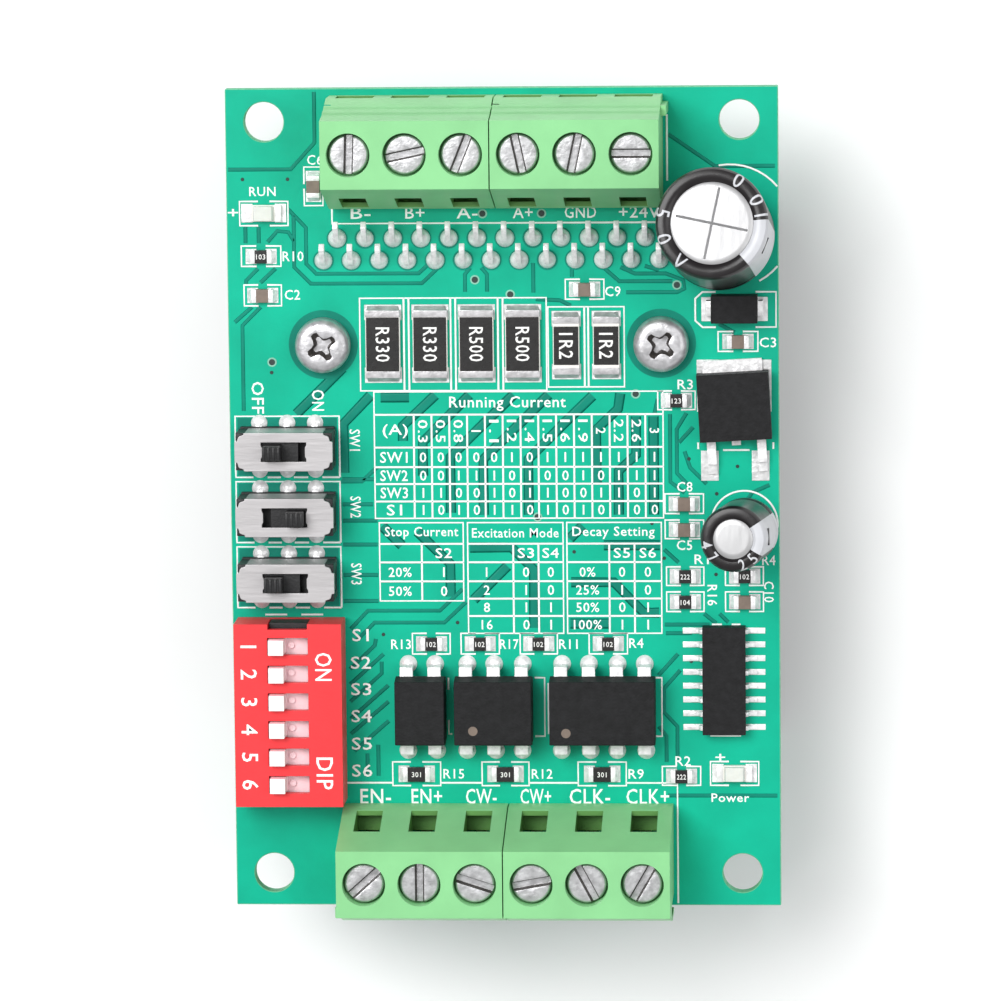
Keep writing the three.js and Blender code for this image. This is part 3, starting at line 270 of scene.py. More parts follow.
def add_turned(bm, profile, matrix=Matrix(), sides=48):
    """A piece turned round Z from [r, z] points that start and end on the axis."""
    points = [bm.verts.new((r, 0, z)) for r, z in profile]
    edges = [bm.edges.new(pair) for pair in zip(points, points[1:])]
    spun = bmesh.ops.spin(bm, geom=points + edges, cent=(0, 0, 0), axis=(0, 0, 1), angle=2 * math.pi,
                          steps=sides, use_merge=True)
    verts = set(points) | {v for g in spun["geom_last"] for v in getattr(g, "verts", [g])}
    made = list(linked(points[0]) | verts)
    bmesh.ops.remove_doubles(bm, verts=[v for v in made if v.is_valid], dist=1e-5)
    whole = linked(points[0] if points[0].is_valid else next(v for v in made if v.is_valid))
    bmesh.ops.transform(bm, matrix=matrix, verts=list(whole))
    return whole


def linked(start):
    """The vertices joined to start, itself among them."""
    found, todo = {start}, [start]
    while todo:
        for edge in todo.pop().link_edges:
            for vert in edge.verts:
                if vert not in found:
                    found.add(vert)
                    todo.append(vert)
    return found


def soften(bm, width, segments=2, edges=None):
    """Rounds the sharp edges."""
    bm.normal_update()
    chosen = bm.edges if edges is None else edges
    sharp = [e for e in chosen if len(e.link_faces) == 2 and e.calc_face_angle() > SHARP]
    bmesh.ops.bevel(bm, geom=sharp, offset=width, segments=segments, profile=0.5, affect="EDGES",
                    clamp_overlap=True, material=-1)


def thing(name, bm):
    """An object with bm's mesh; bm itself is used up."""
    mesh = bpy.data.meshes.new(name)
    bm.to_mesh(mesh)
    bm.free()
    made = bpy.data.objects.new(name, mesh)
    bpy.context.scene.collection.objects.link(made)
    return made


def carved(bm, cutter):
    """What is left of bm when cutter is taken out of it."""
    for shape in (bm, cutter):
        bmesh.ops.recalc_face_normals(shape, faces=shape.faces)
    body, tool = thing("carved", bm), thing("cutter", cutter)
    cut = body.modifiers.new("cut", "BOOLEAN")
    cut.object = tool
    cut.operation = "DIFFERENCE"
    cut.solver = "EXACT"
    seen = body.evaluated_get(bpy.context.evaluated_depsgraph_get())
    result = bmesh.new()
    result.from_mesh(seen.to_mesh())
    seen.to_mesh_clear()
    for temporary in (body, tool):
        mesh = temporary.data
        bpy.data.objects.remove(temporary)
        bpy.data.meshes.remove(mesh)
    return result


def piece(name, bm, finishes, body="module", replaces=(), smooth=True, normals=True):
    """Turns a bmesh into a finished piece that rides on a body."""
    if normals:
        bmesh.ops.recalc_face_normals(bm, faces=bm.faces)
    bmesh.ops.transform(bm, matrix=TO_FRAME, verts=bm.verts)
    made = thing(name, bm)
    for each in finishes if isinstance(finishes, (list, tuple)) else [finishes]:
        made.data.materials.append(FINISH[each])
    if smooth:
        made.data.polygons.foreach_set("use_smooth", [True] * len(made.data.polygons))
        made.data.set_sharp_from_angle(angle=SHARP)
        even = made.modifiers.new("even_shading", "WEIGHTED_NORMAL")
        even.keep_sharp = True
    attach(made, body)
    if replaces:
        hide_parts(*replaces)
    return made


def copy_of(node):
    """A merged copy of a CAD node's mesh, in millimetres, with its flat faces whole."""
    bm = bmesh.new()
    bm.from_mesh(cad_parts[node].data)
    bmesh.ops.transform(bm, matrix=FROM_FRAME, verts=bm.verts)
    bmesh.ops.remove_doubles(bm, verts=bm.verts, dist=0.002)
    bmesh.ops.recalc_face_normals(bm, faces=bm.faces)
    bmesh.ops.dissolve_limit(bm, angle_limit=math.radians(1), verts=bm.verts, edges=bm.edges)
    return bm


def from_cad(node, name, finishes, edge, metal=None, body="module"):
    """A CAD node's own shape with its sharp edges rounded. Faces whose middle passes the metal test
    take the second finish."""
    bm = copy_of(node)
    soften(bm, edge)
    if metal:
        paint(bm, 1, metal)
    return piece(name, bm, finishes, body=body, replaces=[node], normals=False)


def paint(bm, index, test):
    """Gives the faces whose middle passes the test a material index."""
    for face in bm.faces:
        if test(face.calc_center_median()):
            face.material_index = index


def drawn_mesh(curve):
    """The mesh of a curve or a word."""
    drawn = bpy.data.objects.new(curve.name, curve)
    bpy.context.scene.collection.objects.link(drawn)
    seen = drawn.evaluated_get(bpy.context.evaluated_depsgraph_get())
    bm = bmesh.new()
    bm.from_mesh(seen.to_mesh())
    seen.to_mesh_clear()
    bpy.data.objects.remove(drawn)
    return bm


def ribbons(name, lines, width, height, finish_name, z=0.0):
    """Flat rounded strips along polylines of [x, y] points; a line is closed where it ends as it starts."""
    curve = bpy.data.curves.new(name, "CURVE")
    curve.dimensions = "3D"
    curve.bevel_depth = width / 2
    curve.bevel_resolution = 1
    curve.use_fill_caps = True
    for line in lines:
        closed = line[0] == line[-1]
        points = line[:-1] if closed else line
        spline = curve.splines.new("POLY")
        spline.points.add(len(points) - 1)
        for point, (x, y) in zip(spline.points, points):
            point.co = (x, y, 0, 1)
        spline.use_cyclic_u = closed
    bm = drawn_mesh(curve)
    flatten = Matrix.Translation((0, 0, z)) @ Matrix.Diagonal((1, 1, height / width, 1))
    bmesh.ops.transform(bm, matrix=flatten, verts=bm.verts)
    return piece(name, bm, finish_name, smooth=False)


def rectangle(x0, x1, y0, y1):
    return [(x0, y0), (x1, y0), (x1, y1), (x0, y1), (x0, y0)]


def word(text, cap, half_thickness, swell, resolution):
    """A word's mesh with its capitals cap high; swell fattens its strokes."""
    curve = bpy.data.curves.new(text, "FONT")
    curve.body = text
    curve.size = cap / CAPITAL_SHARE
    curve.extrude = half_thickness
    curve.offset = swell * cap
    curve.resolution_u = resolution
    curve.space_character = 1.08
    return drawn_mesh(curve)


def lettering(name, labels, finish_name, z=0.013, thickness=0.024):
    """Printed words as one piece. A label is (text, x, y, cap height, length, turn in degrees):
    x, y is the middle of the word, and length stretches it along its line where it isn't None."""
    whole = bmesh.new()
    for text, x, y, cap, length, turn in labels:
        bm = word(text, cap, thickness / 2, 0.011, 2)
        xs = [v.co.x for v in bm.verts]
        ys = [v.co.y for v in bm.verts]
        middle = Vector(((min(xs) + max(xs)) / 2, (min(ys) + max(ys)) / 2, 0))
        stretch = 1 if length is None else length / (max(xs) - min(xs))
        matrix = (Matrix.Translation((x, y, z)) @ Matrix.Rotation(math.radians(turn), 4, "Z")
                  @ Matrix.Diagonal((stretch, 1, 1, 1)) @ Matrix.Translation(-middle))
        bmesh.ops.transform(bm, matrix=matrix, verts=bm.verts)
        merge(whole, bm)
    bmesh.ops.remove_doubles(whole, verts=whole.verts, dist=1e-4)
    return piece(name, whole, finish_name, smooth=False)


# ---- circuit board -------------------------------------------------------------------
CORNER_HOLES = [(sx * 21.5, sy * 34.5) for sx in (-1, 1) for sy in (-1, 1)]
CHIP_SCREWS = [(-16.35, 14.25), (14.35, 14.25)]
LEAD_PITCH = 2.54
NEAR_LEADS = [(-1 + (i - 6) * LEAD_PITCH, 21.9) for i in range(13)]
FAR_LEADS = [(-1 + (i - 5.5) * LEAD_PITCH, 23.9) for i in range(12)]
VIAS = [(-2.5, 20.1), (0.7, 18.75), (3.6, 26.1), (-1.75, 26.1), (15.8, 19.55), (-21.05, 12.65), (12, 9.65),
        (3, -1.6)]
SMALL_VIAS = [(-23.5, 29.3), (-19.4, 29.3), (-21.1, 11.7), (-4.4, -11.3), (19.2, -6.9), (14.5, -5.4),
              (-11.2, -12.4), (16.8, 3.7), (21.2, 3.0), (19.3, 0.5), (6.3, -4.8), (13.4, -2.2),
              (16.9, -14.9)]


def board():
    low, high = corners("circuit_board")
    bm = bmesh.new()
    add_box(bm, low, high)
    holes = bmesh.new()
    drill = (low.z - 1, 1)
    for x, y in CORNER_HOLES:
        add_post(holes, x, y, *drill, 3.6, sides=64)
    for x, y in CHIP_SCREWS:
        add_post(holes, x, y, *drill, 3.5, sides=48)
    for x, y in NEAR_LEADS + FAR_LEADS:
        add_post(holes, x, y, *drill, 1.0, sides=16)
    bm = carved(bm, holes)
    soften(bm, 0.07, 1)
    bm.normal_update()
    for face in bm.faces:
        face.material_index = 0 if abs(face.normal.z) > 0.9 else 1
    piece("board", bm, ["mask", "laminate"], replaces=["circuit_board"],
          normals=False)


def copper_pattern():
    """The darker channels between the copper areas under the mask."""
    narrow = [
        [(-16.9, 37.2), (-16.9, 32.6), (-19.1, 30.2), (-24.8, 30.2)],
        [(-19.4, 26.6), (-17.8, 24.9), (-17.8, 21.6), (-16.9, 20.7), (-7.6, 20.7), (-6.5, 21.7)],
        [(-18.9, 26.0), (-18.9, 21.3), (-17.4, 19.8), (-7.3, 19.8), (-5.4, 21.6)],
        [(-23.3, 25.0), (-23.3, 23.5)], [(-22.1, 25.0), (-22.1, 23.5)],
        [(-21.3, 23.6), (-20.4, 24.6), (-19.4, 24.5), (-18.9, 23.7)],
        [(-22.2, 21.2), (-23.3, 20.1), (-23.3, 19.8)], [(-20.6, 21.2), (-22.0, 19.9)],
        [(-22.0, 17.7), (-23.7, 16.0), (-23.7, 8.2)], [(-22.8, 17.7), (-24.4, 16.3)],
        [(-3.4, 19.0), (-3.4, 20.6), (-2.9, 21.2)], [(-1.4, 19.0), (-1.4, 20.6), (-1.9, 21.2)],
        [(2.8, 18.9), (2.8, 21.6)], [(6.3, 20.3), (6.3, 21.4)], [(8.9, 21.4), (10.6, 19.9), (15.4, 19.9)],
        [(10.7, 21.2), (12.0, 20.6), (14.8, 20.6), (16.4, 20.0), (16.5, 19.2), (15.8, 18.9), (11.2, 18.9)],
        [(3.0, 18.3), (5.2, 18.2), (6.2, 17.7)],
        [(12.9, 21.3), (14.2, 20.9)], [(15.1, 33.2), (19.3, 30.3), (24.7, 30.3)],
        [(19.6, 16.0), (21.0, 15.2)], [(14.0, 9.2), (13.7, 7.9)],
        [(15.1, 7.8), (15.1, 1.6), (16.4, 0.6)], [(16.6, 7.9), (15.7, 6.4), (15.7, 2.4), (16.8, 1.2)],
        [(17.2, 6.6), (15.9, 5.2)], [(18.4, 1.4), (16.9, 2.9), (16.4, 4.4)],
        [(24.1, 1.3), (22.5, 0.6), (21.9, -0.4)], [(14.5, -4.6), (15.8, -5.8)],
        [(14.5, -11.5), (18.6, -11.5)], [(14.6, -12.3), (17.0, -12.3)], [(18.1, -10.5), (19.2, -11.4)],
        [(19.5, -10.5), (20.3, -11.3)], [(13.9, -16.2), (15.7, -14.2)],
        [(14.6, -24.2), (14.6, -21.8), (13.9, -20.9)],
        [(15.6, -24.2), (15.6, -20.9), (14.4, -19.6), (14.4, -17.4), (15.9, -15.7)],
        [(14.7, -27.3), (24.7, -27.3)], [(-14.2, -11.9), (-12.6, -10.2), (-6.0, -10.2), (-3.9, -8.2)],
        [(-13.6, -12.9), (-12.0, -11.3), (-5.6, -11.3), (-3.6, -9.4)],
        [(-14.3, -15.6), (-12.0, -13.4), (-11.9, -12.8)], [(-14.3, -17.0), (-11.2, -14.2)],
        [(-14.3, -18.6), (-11.4, -16.0), (-11.4, -14.9)], [(-14.3, -20.2), (-10.8, -17.1)],
        [(-14.3, -21.6), (-10.8, -18.6)], [(-14.0, -23.2), (-10.8, -20.4)], [(-12.8, -25.5), (-12.8, -23.4)],
        [(-11.8, -25.5), (-11.8, -22.6)], [(-11.6, 3.0), (-13.0, 1.7), (-14.9, 1.7)],
        [(-11.9, 1.9), (-14.8, 1.9)], [(-14.8, -0.4), (-12.0, -0.4)], [(-14.8, -1.9), (-11.6, -1.9)],
        [(-14.8, -4.1), (-11.6, -4.1)], [(-14.8, -6.9), (-11.6, -6.9)], [(-14.8, -9.3), (-11.6, -9.3)],
    ]
    wide = [
        [(-14.6, 12.1), (-18.9, 7.9)], [(-12.1, 9.6), (-14.6, 7.0), (-14.6, 2.5)],
        [(-11.2, 9.4), (-8.6, 9.4)], [(-6.2, 9.6), (-9.2, 6.8), (-9.2, 5.4)],
        [(-3.1, 9.6), (-7.4, 5.3), (-7.4, 2.2)], [(0.9, 9.6), (-2.2, 6.6), (-4.9, 3.9), (-4.9, -1.2)],
        [(4.1, 9.6), (2.2, 7.7), (-1.9, 3.7), (-1.9, -1.4)],
        [(8.1, 9.5), (5.6, 7.1), (2.2, 3.7), (2.2, -1.4)],
        [(10.6, 9.7), (10.4, 8.3), (8.4, 6.4), (8.4, 1.5)],
        [(12.0, 7.6), (12.0, 4.1), (10.4, 2.6), (10.4, -1.4)], [(13.6, 7.6), (13.6, -1.4)],
        [(-11.2, -2.4), (-9.4, -4.2)], [(-8.0, -2.9), (-5.0, -5.9), (-5.0, -8.9)],
        [(-3.2, -4.4), (0.6, -4.4), (2.6, -6.4), (2.6, -11.8)], [(0.2, -6.1), (-2.9, -9.2)],
        [(7.1, -2.4), (5.9, -3.6)], [(6.0, -7.6), (9.9, -7.6), (12.6, -10.4), (14.0, -10.4)],
        [(9.0, -4.2), (14.1, -4.2)], [(5.9, -11.4), (9.6, -11.4)],
    ]
    ribbons("copper_gaps", narrow, 0.36, 0.012, "mask_dark")
    ribbons("copper_gaps_wide", wide, 0.95, 0.014, "mask_dark")


def clearings():
    """Dark rings left free of copper round the screws, the leads and the bare rows."""
    bm = bmesh.new()
    for x, y in CHIP_SCREWS:
        add_post(bm, x, y, 0.0, 0.010, 6.3, sides=64)
    for x, y in NEAR_LEADS + FAR_LEADS:
        add_post(bm, x, y, 0.0, 0.011, 1.92, sides=32)
    for switch in SLIDE_ROWS:
        add_box(bm, (-24.3, switch - 2.7, 0), (-15.2, switch + 2.6, 0.009))
    piece("copper_clearings", bm, "mask_dark")


def vias():
    # The wells are near-black discs: painted shade standing for the open via holes.
    rings, wells = bmesh.new(), bmesh.new()
    for x, y in VIAS:
        add_post(rings, x, y, 0, 0.03, 0.86, 0.80, sides=28)
        add_post(wells, x, y, 0, 0.036, 0.58, sides=20)
    for x, y in SMALL_VIAS:
        add_post(wells, x, y, 0, 0.03, 0.34, 0.3, sides=16)
    piece("via_rings", rings, "rim")
    piece("via_wells", wells, "hole")


# ---- screen print --------------------------------------------------------------------
def brackets(x0, x1, y0, y1, upright=False):
    """The two half frames round a small part."""
    if upright:
        reach = (y1 - y0) * 0.44
        return [[(x0, y0 + reach), (x0, y0), (x1, y0), (x1, y0 + reach)],
                [(x0, y1 - reach), (x0, y1), (x1, y1), (x1, y1 - reach)]]
    reach = (x1 - x0) * 0.38
    return [[(x0 + reach, y0), (x0, y0), (x0, y1), (x0 + reach, y1)],
            [(x1 - reach, y0), (x1, y0), (x1, y1), (x1 - reach, y1)]]


def arc(x, y, radius, start, end):
    steps = max(2, round(abs(end - start) / 8))
    turns = [math.radians(start + (end - start) * i / steps) for i in range(steps + 1)]
    return [(x + radius * math.cos(t), y + radius * math.sin(t)) for t in turns]


SMALL_FRAMES = [
    (-23.8, -19.4, 25.1, 27.3), (-23.7, -20.1, 21.4, 23.25), (-23.5, -20.1, 17.8, 19.7),
    (5.7, 9.2, 18.3, 20.1), (19.5, 23.1, 13.5, 15.3), (14.0, 17.4, 8.2, 9.9), (14.6, 18.1, -1.3, 0.5),
    (14.6, 18.1, -3.6, -1.9), (14.7, 18.1, -7.9, -6.2), (20.05, 23.5, -7.9, -6.2), (14.7, 18.1, -10.3, -8.5),
    (20.05, 23.5, -10.3, -8.5), (14.2, 17.7, -26.35, -24.6), (18.6, 23.0, -26.35, -24.15),
    (6.5, 10.9, -26.4, -24.2), (-2.3, 2.0, -26.4, -24.2), (-10.5, -6.1, -26.4, -24.2),
    (-8.55, -5.1, -14.2, -12.3), (-4.1, -0.6, -14.2, -12.3), (1.3, 4.7, -14.2, -12.3),
    (7.6, 11.1, -14.2, -12.3),
]
SLIDE_ROWS = (4.95, -1.05, -7.05)
CURRENTS = ("0.3", "0.5", "0.8", "1", "1.1", "1.2", "1.4", "1.5", "1.6", "1.9", "2", "2.2", "2.6", "3")
CURRENT_ROWS = (("SW1", 3.9, "00000101111111"), ("SW2", 2.22, "00111010010111"),
                ("SW3", 0.64, "11001011001101"), ("S1", -0.93, "10101101010100"))
CURRENT_X0 = -8.2
CURRENT_STEP = 1.62


def grid(x0, x1, columns, rows, first=1):
    """A ruled table: its frame, a line at each inner row and, below the first rows, at each column."""
    lines = [rectangle(x0, x1, rows[-1], rows[0])]
    lines += [[(x0, y), (x1, y)] for y in rows[1:-1]]
    lines += [[(x, rows[first]), (x, rows[-1])] for x in columns]
    return lines


def screen_print():
    lines = []
    for box in SMALL_FRAMES:
        lines += brackets(*box)
    lines += brackets(-17.9, -16.2, 26.9, 30.4, upright=True)
    lines += [rectangle(-13, 3.95, 10.0, 18.45)]
    lines += [[(x, 10.0), (x, 18.45)] for x in (-9.0, -8.55, -4.75, -4.3, -0.45, 0.0)]
    lines += [rectangle(4.1, 11.0, 10.3, 17.6), [(7.4, 10.3), (7.4, 17.6)], [(7.75, 10.3), (7.75, 17.6)]]
    lines += [[(19.3, 18.9), (18.1, 18.9), (17.45, 18.3), (17.45, 16.3), (18.1, 15.7), (19.3, 15.7)],
              [(22.9, 18.9), (24.75, 18.9), (24.75, 15.7), (22.9, 15.7)]]
    for y in SLIDE_ROWS:
        lines += [[(-24.5, y - 2.3), (-24.5, y + 2.75), (-15.0, y + 2.75), (-15.0, y - 2.85)]]
        lines += [[(-24.5, y - 2.3), (-24.5, y - 2.85), (-22.9, y - 2.85)]]
        lines += [[(-21.6, y - 2.85), (-20.4, y - 2.85)], [(-19.2, y - 2.85), (-17.9, y - 2.85)],
                  [(-16.6, y - 2.85), (-15.0, y - 2.85)]]
    lines += [[(-22, -10.55), (-20, -10.55)], [(-18.7, -10.55), (-16.7, -10.55)]]
    lines += grid(-11.8, 14.47, [CURRENT_X0 + i * CURRENT_STEP for i in range(14)],
                  (9.9, 7.8, 4.8, 3.0, 1.45, -0.15, -1.7))
    lines += grid(-11.45, -3.8, [-7.6], (-2.1, -4.05, -5.75, -7.5, -9.3))
    lines += grid(-3.4, 5.3, [0.75, 3.05], (-2.1, -4.05, -5.75, -7.5, -9.1, -10.7, -12.3))
    lines += grid(5.65, 14.25, [9.5, 11.8], (-2.1, -4.05, -5.75, -7.5, -9.1, -10.7, -12.3))
    lines += [[(-15.0, -26.14), (-10.5, -26.14)], [(-6.1, -26.14), (-2.3, -26.14)],
              [(2.0, -26.14), (6.5, -26.14)], [(10.9, -26.14), (15.57, -26.14), (15.57, -37.3)]]
    lines += [[(-15.4, 26.6), (-15.4, 25.25), (14.3, 25.25)], [(14.97, 29.0), (14.97, 35.0)]]
    lines += [[(18.6, -21.75), (21.4, -21.75)], [(18.8, -11.5), (19.7, -11.5)],
              [(20.6, -11.5), (21.4, -11.5)]]
    lines += [[(2.6, -16.4), (3.5, -16.4), (3.5, -21.8), (2.6, -21.8)], [(3.85, -16.9), (3.85, -21.6)],
              [(13.6, -16.4), (14.2, -16.4), (14.2, -21.8), (13.6, -21.8)], [(-5.3, -16.4), (-5.3, -17.5)],
              [(-5.3, -20.3), (-5.3, -21.6), (-5.0, -21.6)], [(-10.1, -17.0), (-10.1, -22.0)]]
    lines += [arc(20.61, 24.84, 5.6, 100, 40), arc(20.61, 24.84, 5.6, -40, -62),
              arc(21.8, -2.25, 3.02, -60, 190)]
    lines += [[(19.9, 4.5), (22.3, 4.5)], [(17.65, 4.6), (17.65, 5.2)], [(24.45, 4.6), (24.45, 5.2)]]
    ribbons("screen_print_lines", lines, 0.19, 0.05, "silk", z=0.02)


def printed_labels():
    across, down = 0, -90
    labels = [("RUN", -21.7, 28.2, 0.83, 2.4, across), ("+", -24.4, 26.3, 0.95, 0.95, across)]
    for text, x, y, length in (
        ("R10", -19.0, 22.3, 1.9), ("C2", -19.1, 18.8, 1.4), ("C9", 10.0, 19.0, 1.4),
        ("C3", 24.0, 14.3, 1.5), ("R3", 16.5, 10.5, 1.4), ("C8", 16.4, 1.15, 1.4), ("C5", 16.35, -4.2, 1.4),
        ("R1", 17.9, -5.5, 1.3), ("R4", 24.0, -5.6, 1.2), ("R2", 16.1, -24.1, 1.4), ("R9", 11.8, -25.3, 1.4),
        ("R12", 3.2, -25.3, 1.9), ("R15", -4.9, -25.3, 1.9), ("R13", -9.6, -13.3, 1.8),
        ("R17", 0.3, -13.3, 1.7), ("R11", 5.7, -13.3, 1.7), ("R4", 11.9, -13.2, 1.3),
        ("C6", -16.9, 31.05, 1.4),
    ):
        labels.append((text, x, y, 0.88, length, across))
    labels += [("R16", 18.85, -8.8, 0.88, 1.9, down), ("C10", 24.0, -8.5, 0.88, 1.9, down)]
    labels += [("+", 19.5, -23.75, 0.9, 0.9, across), ("Power", 20.4, -27.5, 0.78, 3.45, across)]
    labels += [(f"SW{i + 1}", -13.6, y, 0.95, 1.95, down) for i, y in enumerate((5.5, -0.65, -6.8))]
    labels += [("OFF", -22.4, 9.4, 1.1, 2.9, down), ("ON", -16.9, 9.15, 1.1, 1.9, down)]
    labels += [(f"S{i + 1}", -13.3, y, 1.12, 1.85 if i else 1.5, across)
               for i, y in enumerate((-12.45, -15.0, -17.45, -19.95, -22.5, -25.0))]
    for text, x0, x1 in (("EN-", -13.5, -10.7), ("EN+", -8.8, -6.0), ("CW-", -3.8, -1.0), ("CW+", 1.2, 4.0),
                         ("CLK-", 5.7, 9.4), ("CLK+", 10.9, 14.8)):
        labels.append((text, (x0 + x1) / 2, -27.4, 1.4, x1 - x0, across))
    for text, x0, x1 in (("B-", -13.7, -11.9), ("B+", -8.75, -7.0), ("A-", -4.1, -2.2), ("A+", 1.0, 2.8),
                         ("GND", 5.7, 8.55), ("+24V", 10.6, 14.3)):
        labels.append((text, (x0 + x1) / 2, 26.2, 1.05, x1 - x0, across))
    lettering("printed_labels", labels, "silk")


def printed_tables():
    across, down = 0, -90
    words = [("Running Current", 0.35, 8.8, 1.0, 10.6, across), ("(A)", -9.9, 6.3, 0.95, 2.3, across),
             ("Stop Current", -7.6, -3.05, 0.85, 6.7, across),
             ("Excitation Mode", 0.95, -3.05, 0.85, 7.9, across),
             ("Decay Setting", 9.9, -3.05, 0.85, 7.5, across), ("S2", -5.6, -4.9, 0.9, 1.5, across),
             ("S3", 1.9, -4.9, 0.9, 1.5, across), ("S4", 4.15, -4.9, 0.9, 1.5, across),
             ("S5", 10.65, -4.9, 0.9, 1.5, across), ("S6", 13.0, -4.9, 0.9, 1.5, across)]
    for i, value in enumerate(CURRENTS):
        x = CURRENT_X0 + (i + 0.5) * CURRENT_STEP
        words.append((value, x, 6.3, 0.86, None if len(value) == 1 else 2.05, down))
    for name, y, states in CURRENT_ROWS:
        words.append((name, -10.05, y, 0.98, 2.5 if len(name) > 2 else 1.4, across))
        for i, state in enumerate(states):
            words.append((state, CURRENT_X0 + (i + 0.5) * CURRENT_STEP, y, 0.9, None, across))
    tables = (
        (-9.6, (-5.6,), ((-6.65, "20%", "1"), (-8.4, "50%", "0"))),
        (-1.7, (1.9, 4.15), ((-6.65, "1", "00"), (-8.3, "2", "10"), (-9.9, "8", "11"), (-11.5, "16", "01"))),
        (7.5, (10.65, 13.0), ((-6.65, "0%", "00"), (-8.3, "25%", "10"), (-9.9, "50%", "01"),
                              (-11.5, "100%", "11"))),
    )
    for label_x, columns, rows in tables:
        for y, label, states in rows:
            words.append((label, label_x, y, 0.86, None, across))
            words += [(state, x, y, 0.9, None, across) for x, state in zip(columns, states)]
    lettering("printed_tables", words, "silk")


# ---- small parts on the board --------------------------------------------------------
RESISTORS = [(-21.9, 22.3, "103"), (15.7, 9.05, "123"), (16.4, -7.05, "222"), (21.8, -7.05, "102"),
             (16.4, -9.4, "104"), (15.95, -25.5, "222"), (-6.8, -13.25, "102"), (-2.35, -13.25, "102"),
             (3.0, -13.25, "102"), (9.35, -13.25, "102"), (8.7, -25.3, "301"), (-0.15, -25.3, "301"),
             (-8.3, -25.3, "301")]
CERAMIC_CAPACITORS = [(-21.8, 18.75, 0), (7.45, 19.2, 0), (21.3, 14.4, 0), (16.35, -0.4, 0),
                      (16.35, -2.75, 0), (21.8, -9.4, 0), (-17.05, 28.65, 90)]


def small_part(body, metal, pads, x, y, turn=0, length=2.0, width=1.2, height=0.55):
    """A chip resistor or capacitor along X: body, metal ends, solder wedges and pads."""
    spin = Matrix.Translation((x, y, 0)) @ Matrix.Rotation(math.radians(turn), 4, "Z")
    half, end, reach = length / 2, 0.44, 0.42
    add_box(body, (-half + end, -width / 2, 0.06), (half - end, width / 2, height), spin)
    for side in (-1, 1):
        x0, x1 = sorted((side * half, side * (half - end - 0.02)))
        add_box(metal, (x0, -width / 2 - 0.01, 0.04), (x1, width / 2 + 0.01, height + 0.01), spin)
        x0, x1 = sorted((side * (half + reach), side * (half - end - 0.15)))
        add_box(pads, (x0, -width / 2 - 0.1, 0), (x1, width / 2 + 0.1, 0.05), spin)
        wedge = bmesh.new()
        outline = [(side * (half - 0.02), -width * 0.45, 0.03),
                   (side * (half + reach * 0.9), -width * 0.45, 0.03),
                   (side * (half + reach * 0.32), -width * 0.45, height * 0.42),
                   (side * (half - 0.02), -width * 0.45, height * 0.9)]
        add_prism(wedge, outline, (0, width * 0.9, 0))
        bmesh.ops.transform(wedge, matrix=spin, verts=wedge.verts)
        merge(metal, wedge)


def merge(bm, other):
    """Adds another bmesh to bm."""
    mesh = bpy.data.meshes.new("merged")
    other.to_mesh(mesh)
    other.free()
    bm.from_mesh(mesh)
    bpy.data.meshes.remove(mesh)


def small_parts():
    dark, tan, metal, pads = (bmesh.new() for _ in range(4))
    codes = []
    for x, y, code in RESISTORS:
        wide = y < -25 and x < 14
        small_part(dark, metal, pads, x, y, length=2.5 if wide else 2.0, width=1.35 if wide else 1.2,
                   height=0.5)
        codes.append((code, x, y, 0.46, 0.84, 0))
    for x, y, turn in CERAMIC_CAPACITORS:
        small_part(tan, metal, pads, x, y, turn, height=0.75)
    for bm in (dark, tan):
        soften(bm, 0.05)
    soften(metal, 0.07)
    soften(pads, 0.02, 1)
    piece("chip_resistors", dark, "ceramic")
    piece("ceramic_capacitors", tan, "tan")
    piece("chip_ends", metal, "solder")
    piece("chip_pads", pads, "copper")
    lettering("resistor_codes", codes, "print", z=0.508, thickness=0.012)


SENSE_RESISTORS = [(-10.9, 14.3, 3.15, 6.9, 1.0, "R330"), (-6.6, 14.3, 3.15, 6.9, 1.0, "R330"),
                   (-2.4, 14.3, 3.15, 6.9, 1.0, "R500"), (1.8, 14.3, 3.15, 6.9, 1.0, "R500"),
                   (5.75, 14.12, 2.4, 6.0, 1.25, "1R2"), (9.38, 14.12, 2.4, 6.0, 1.25, "1R2")]


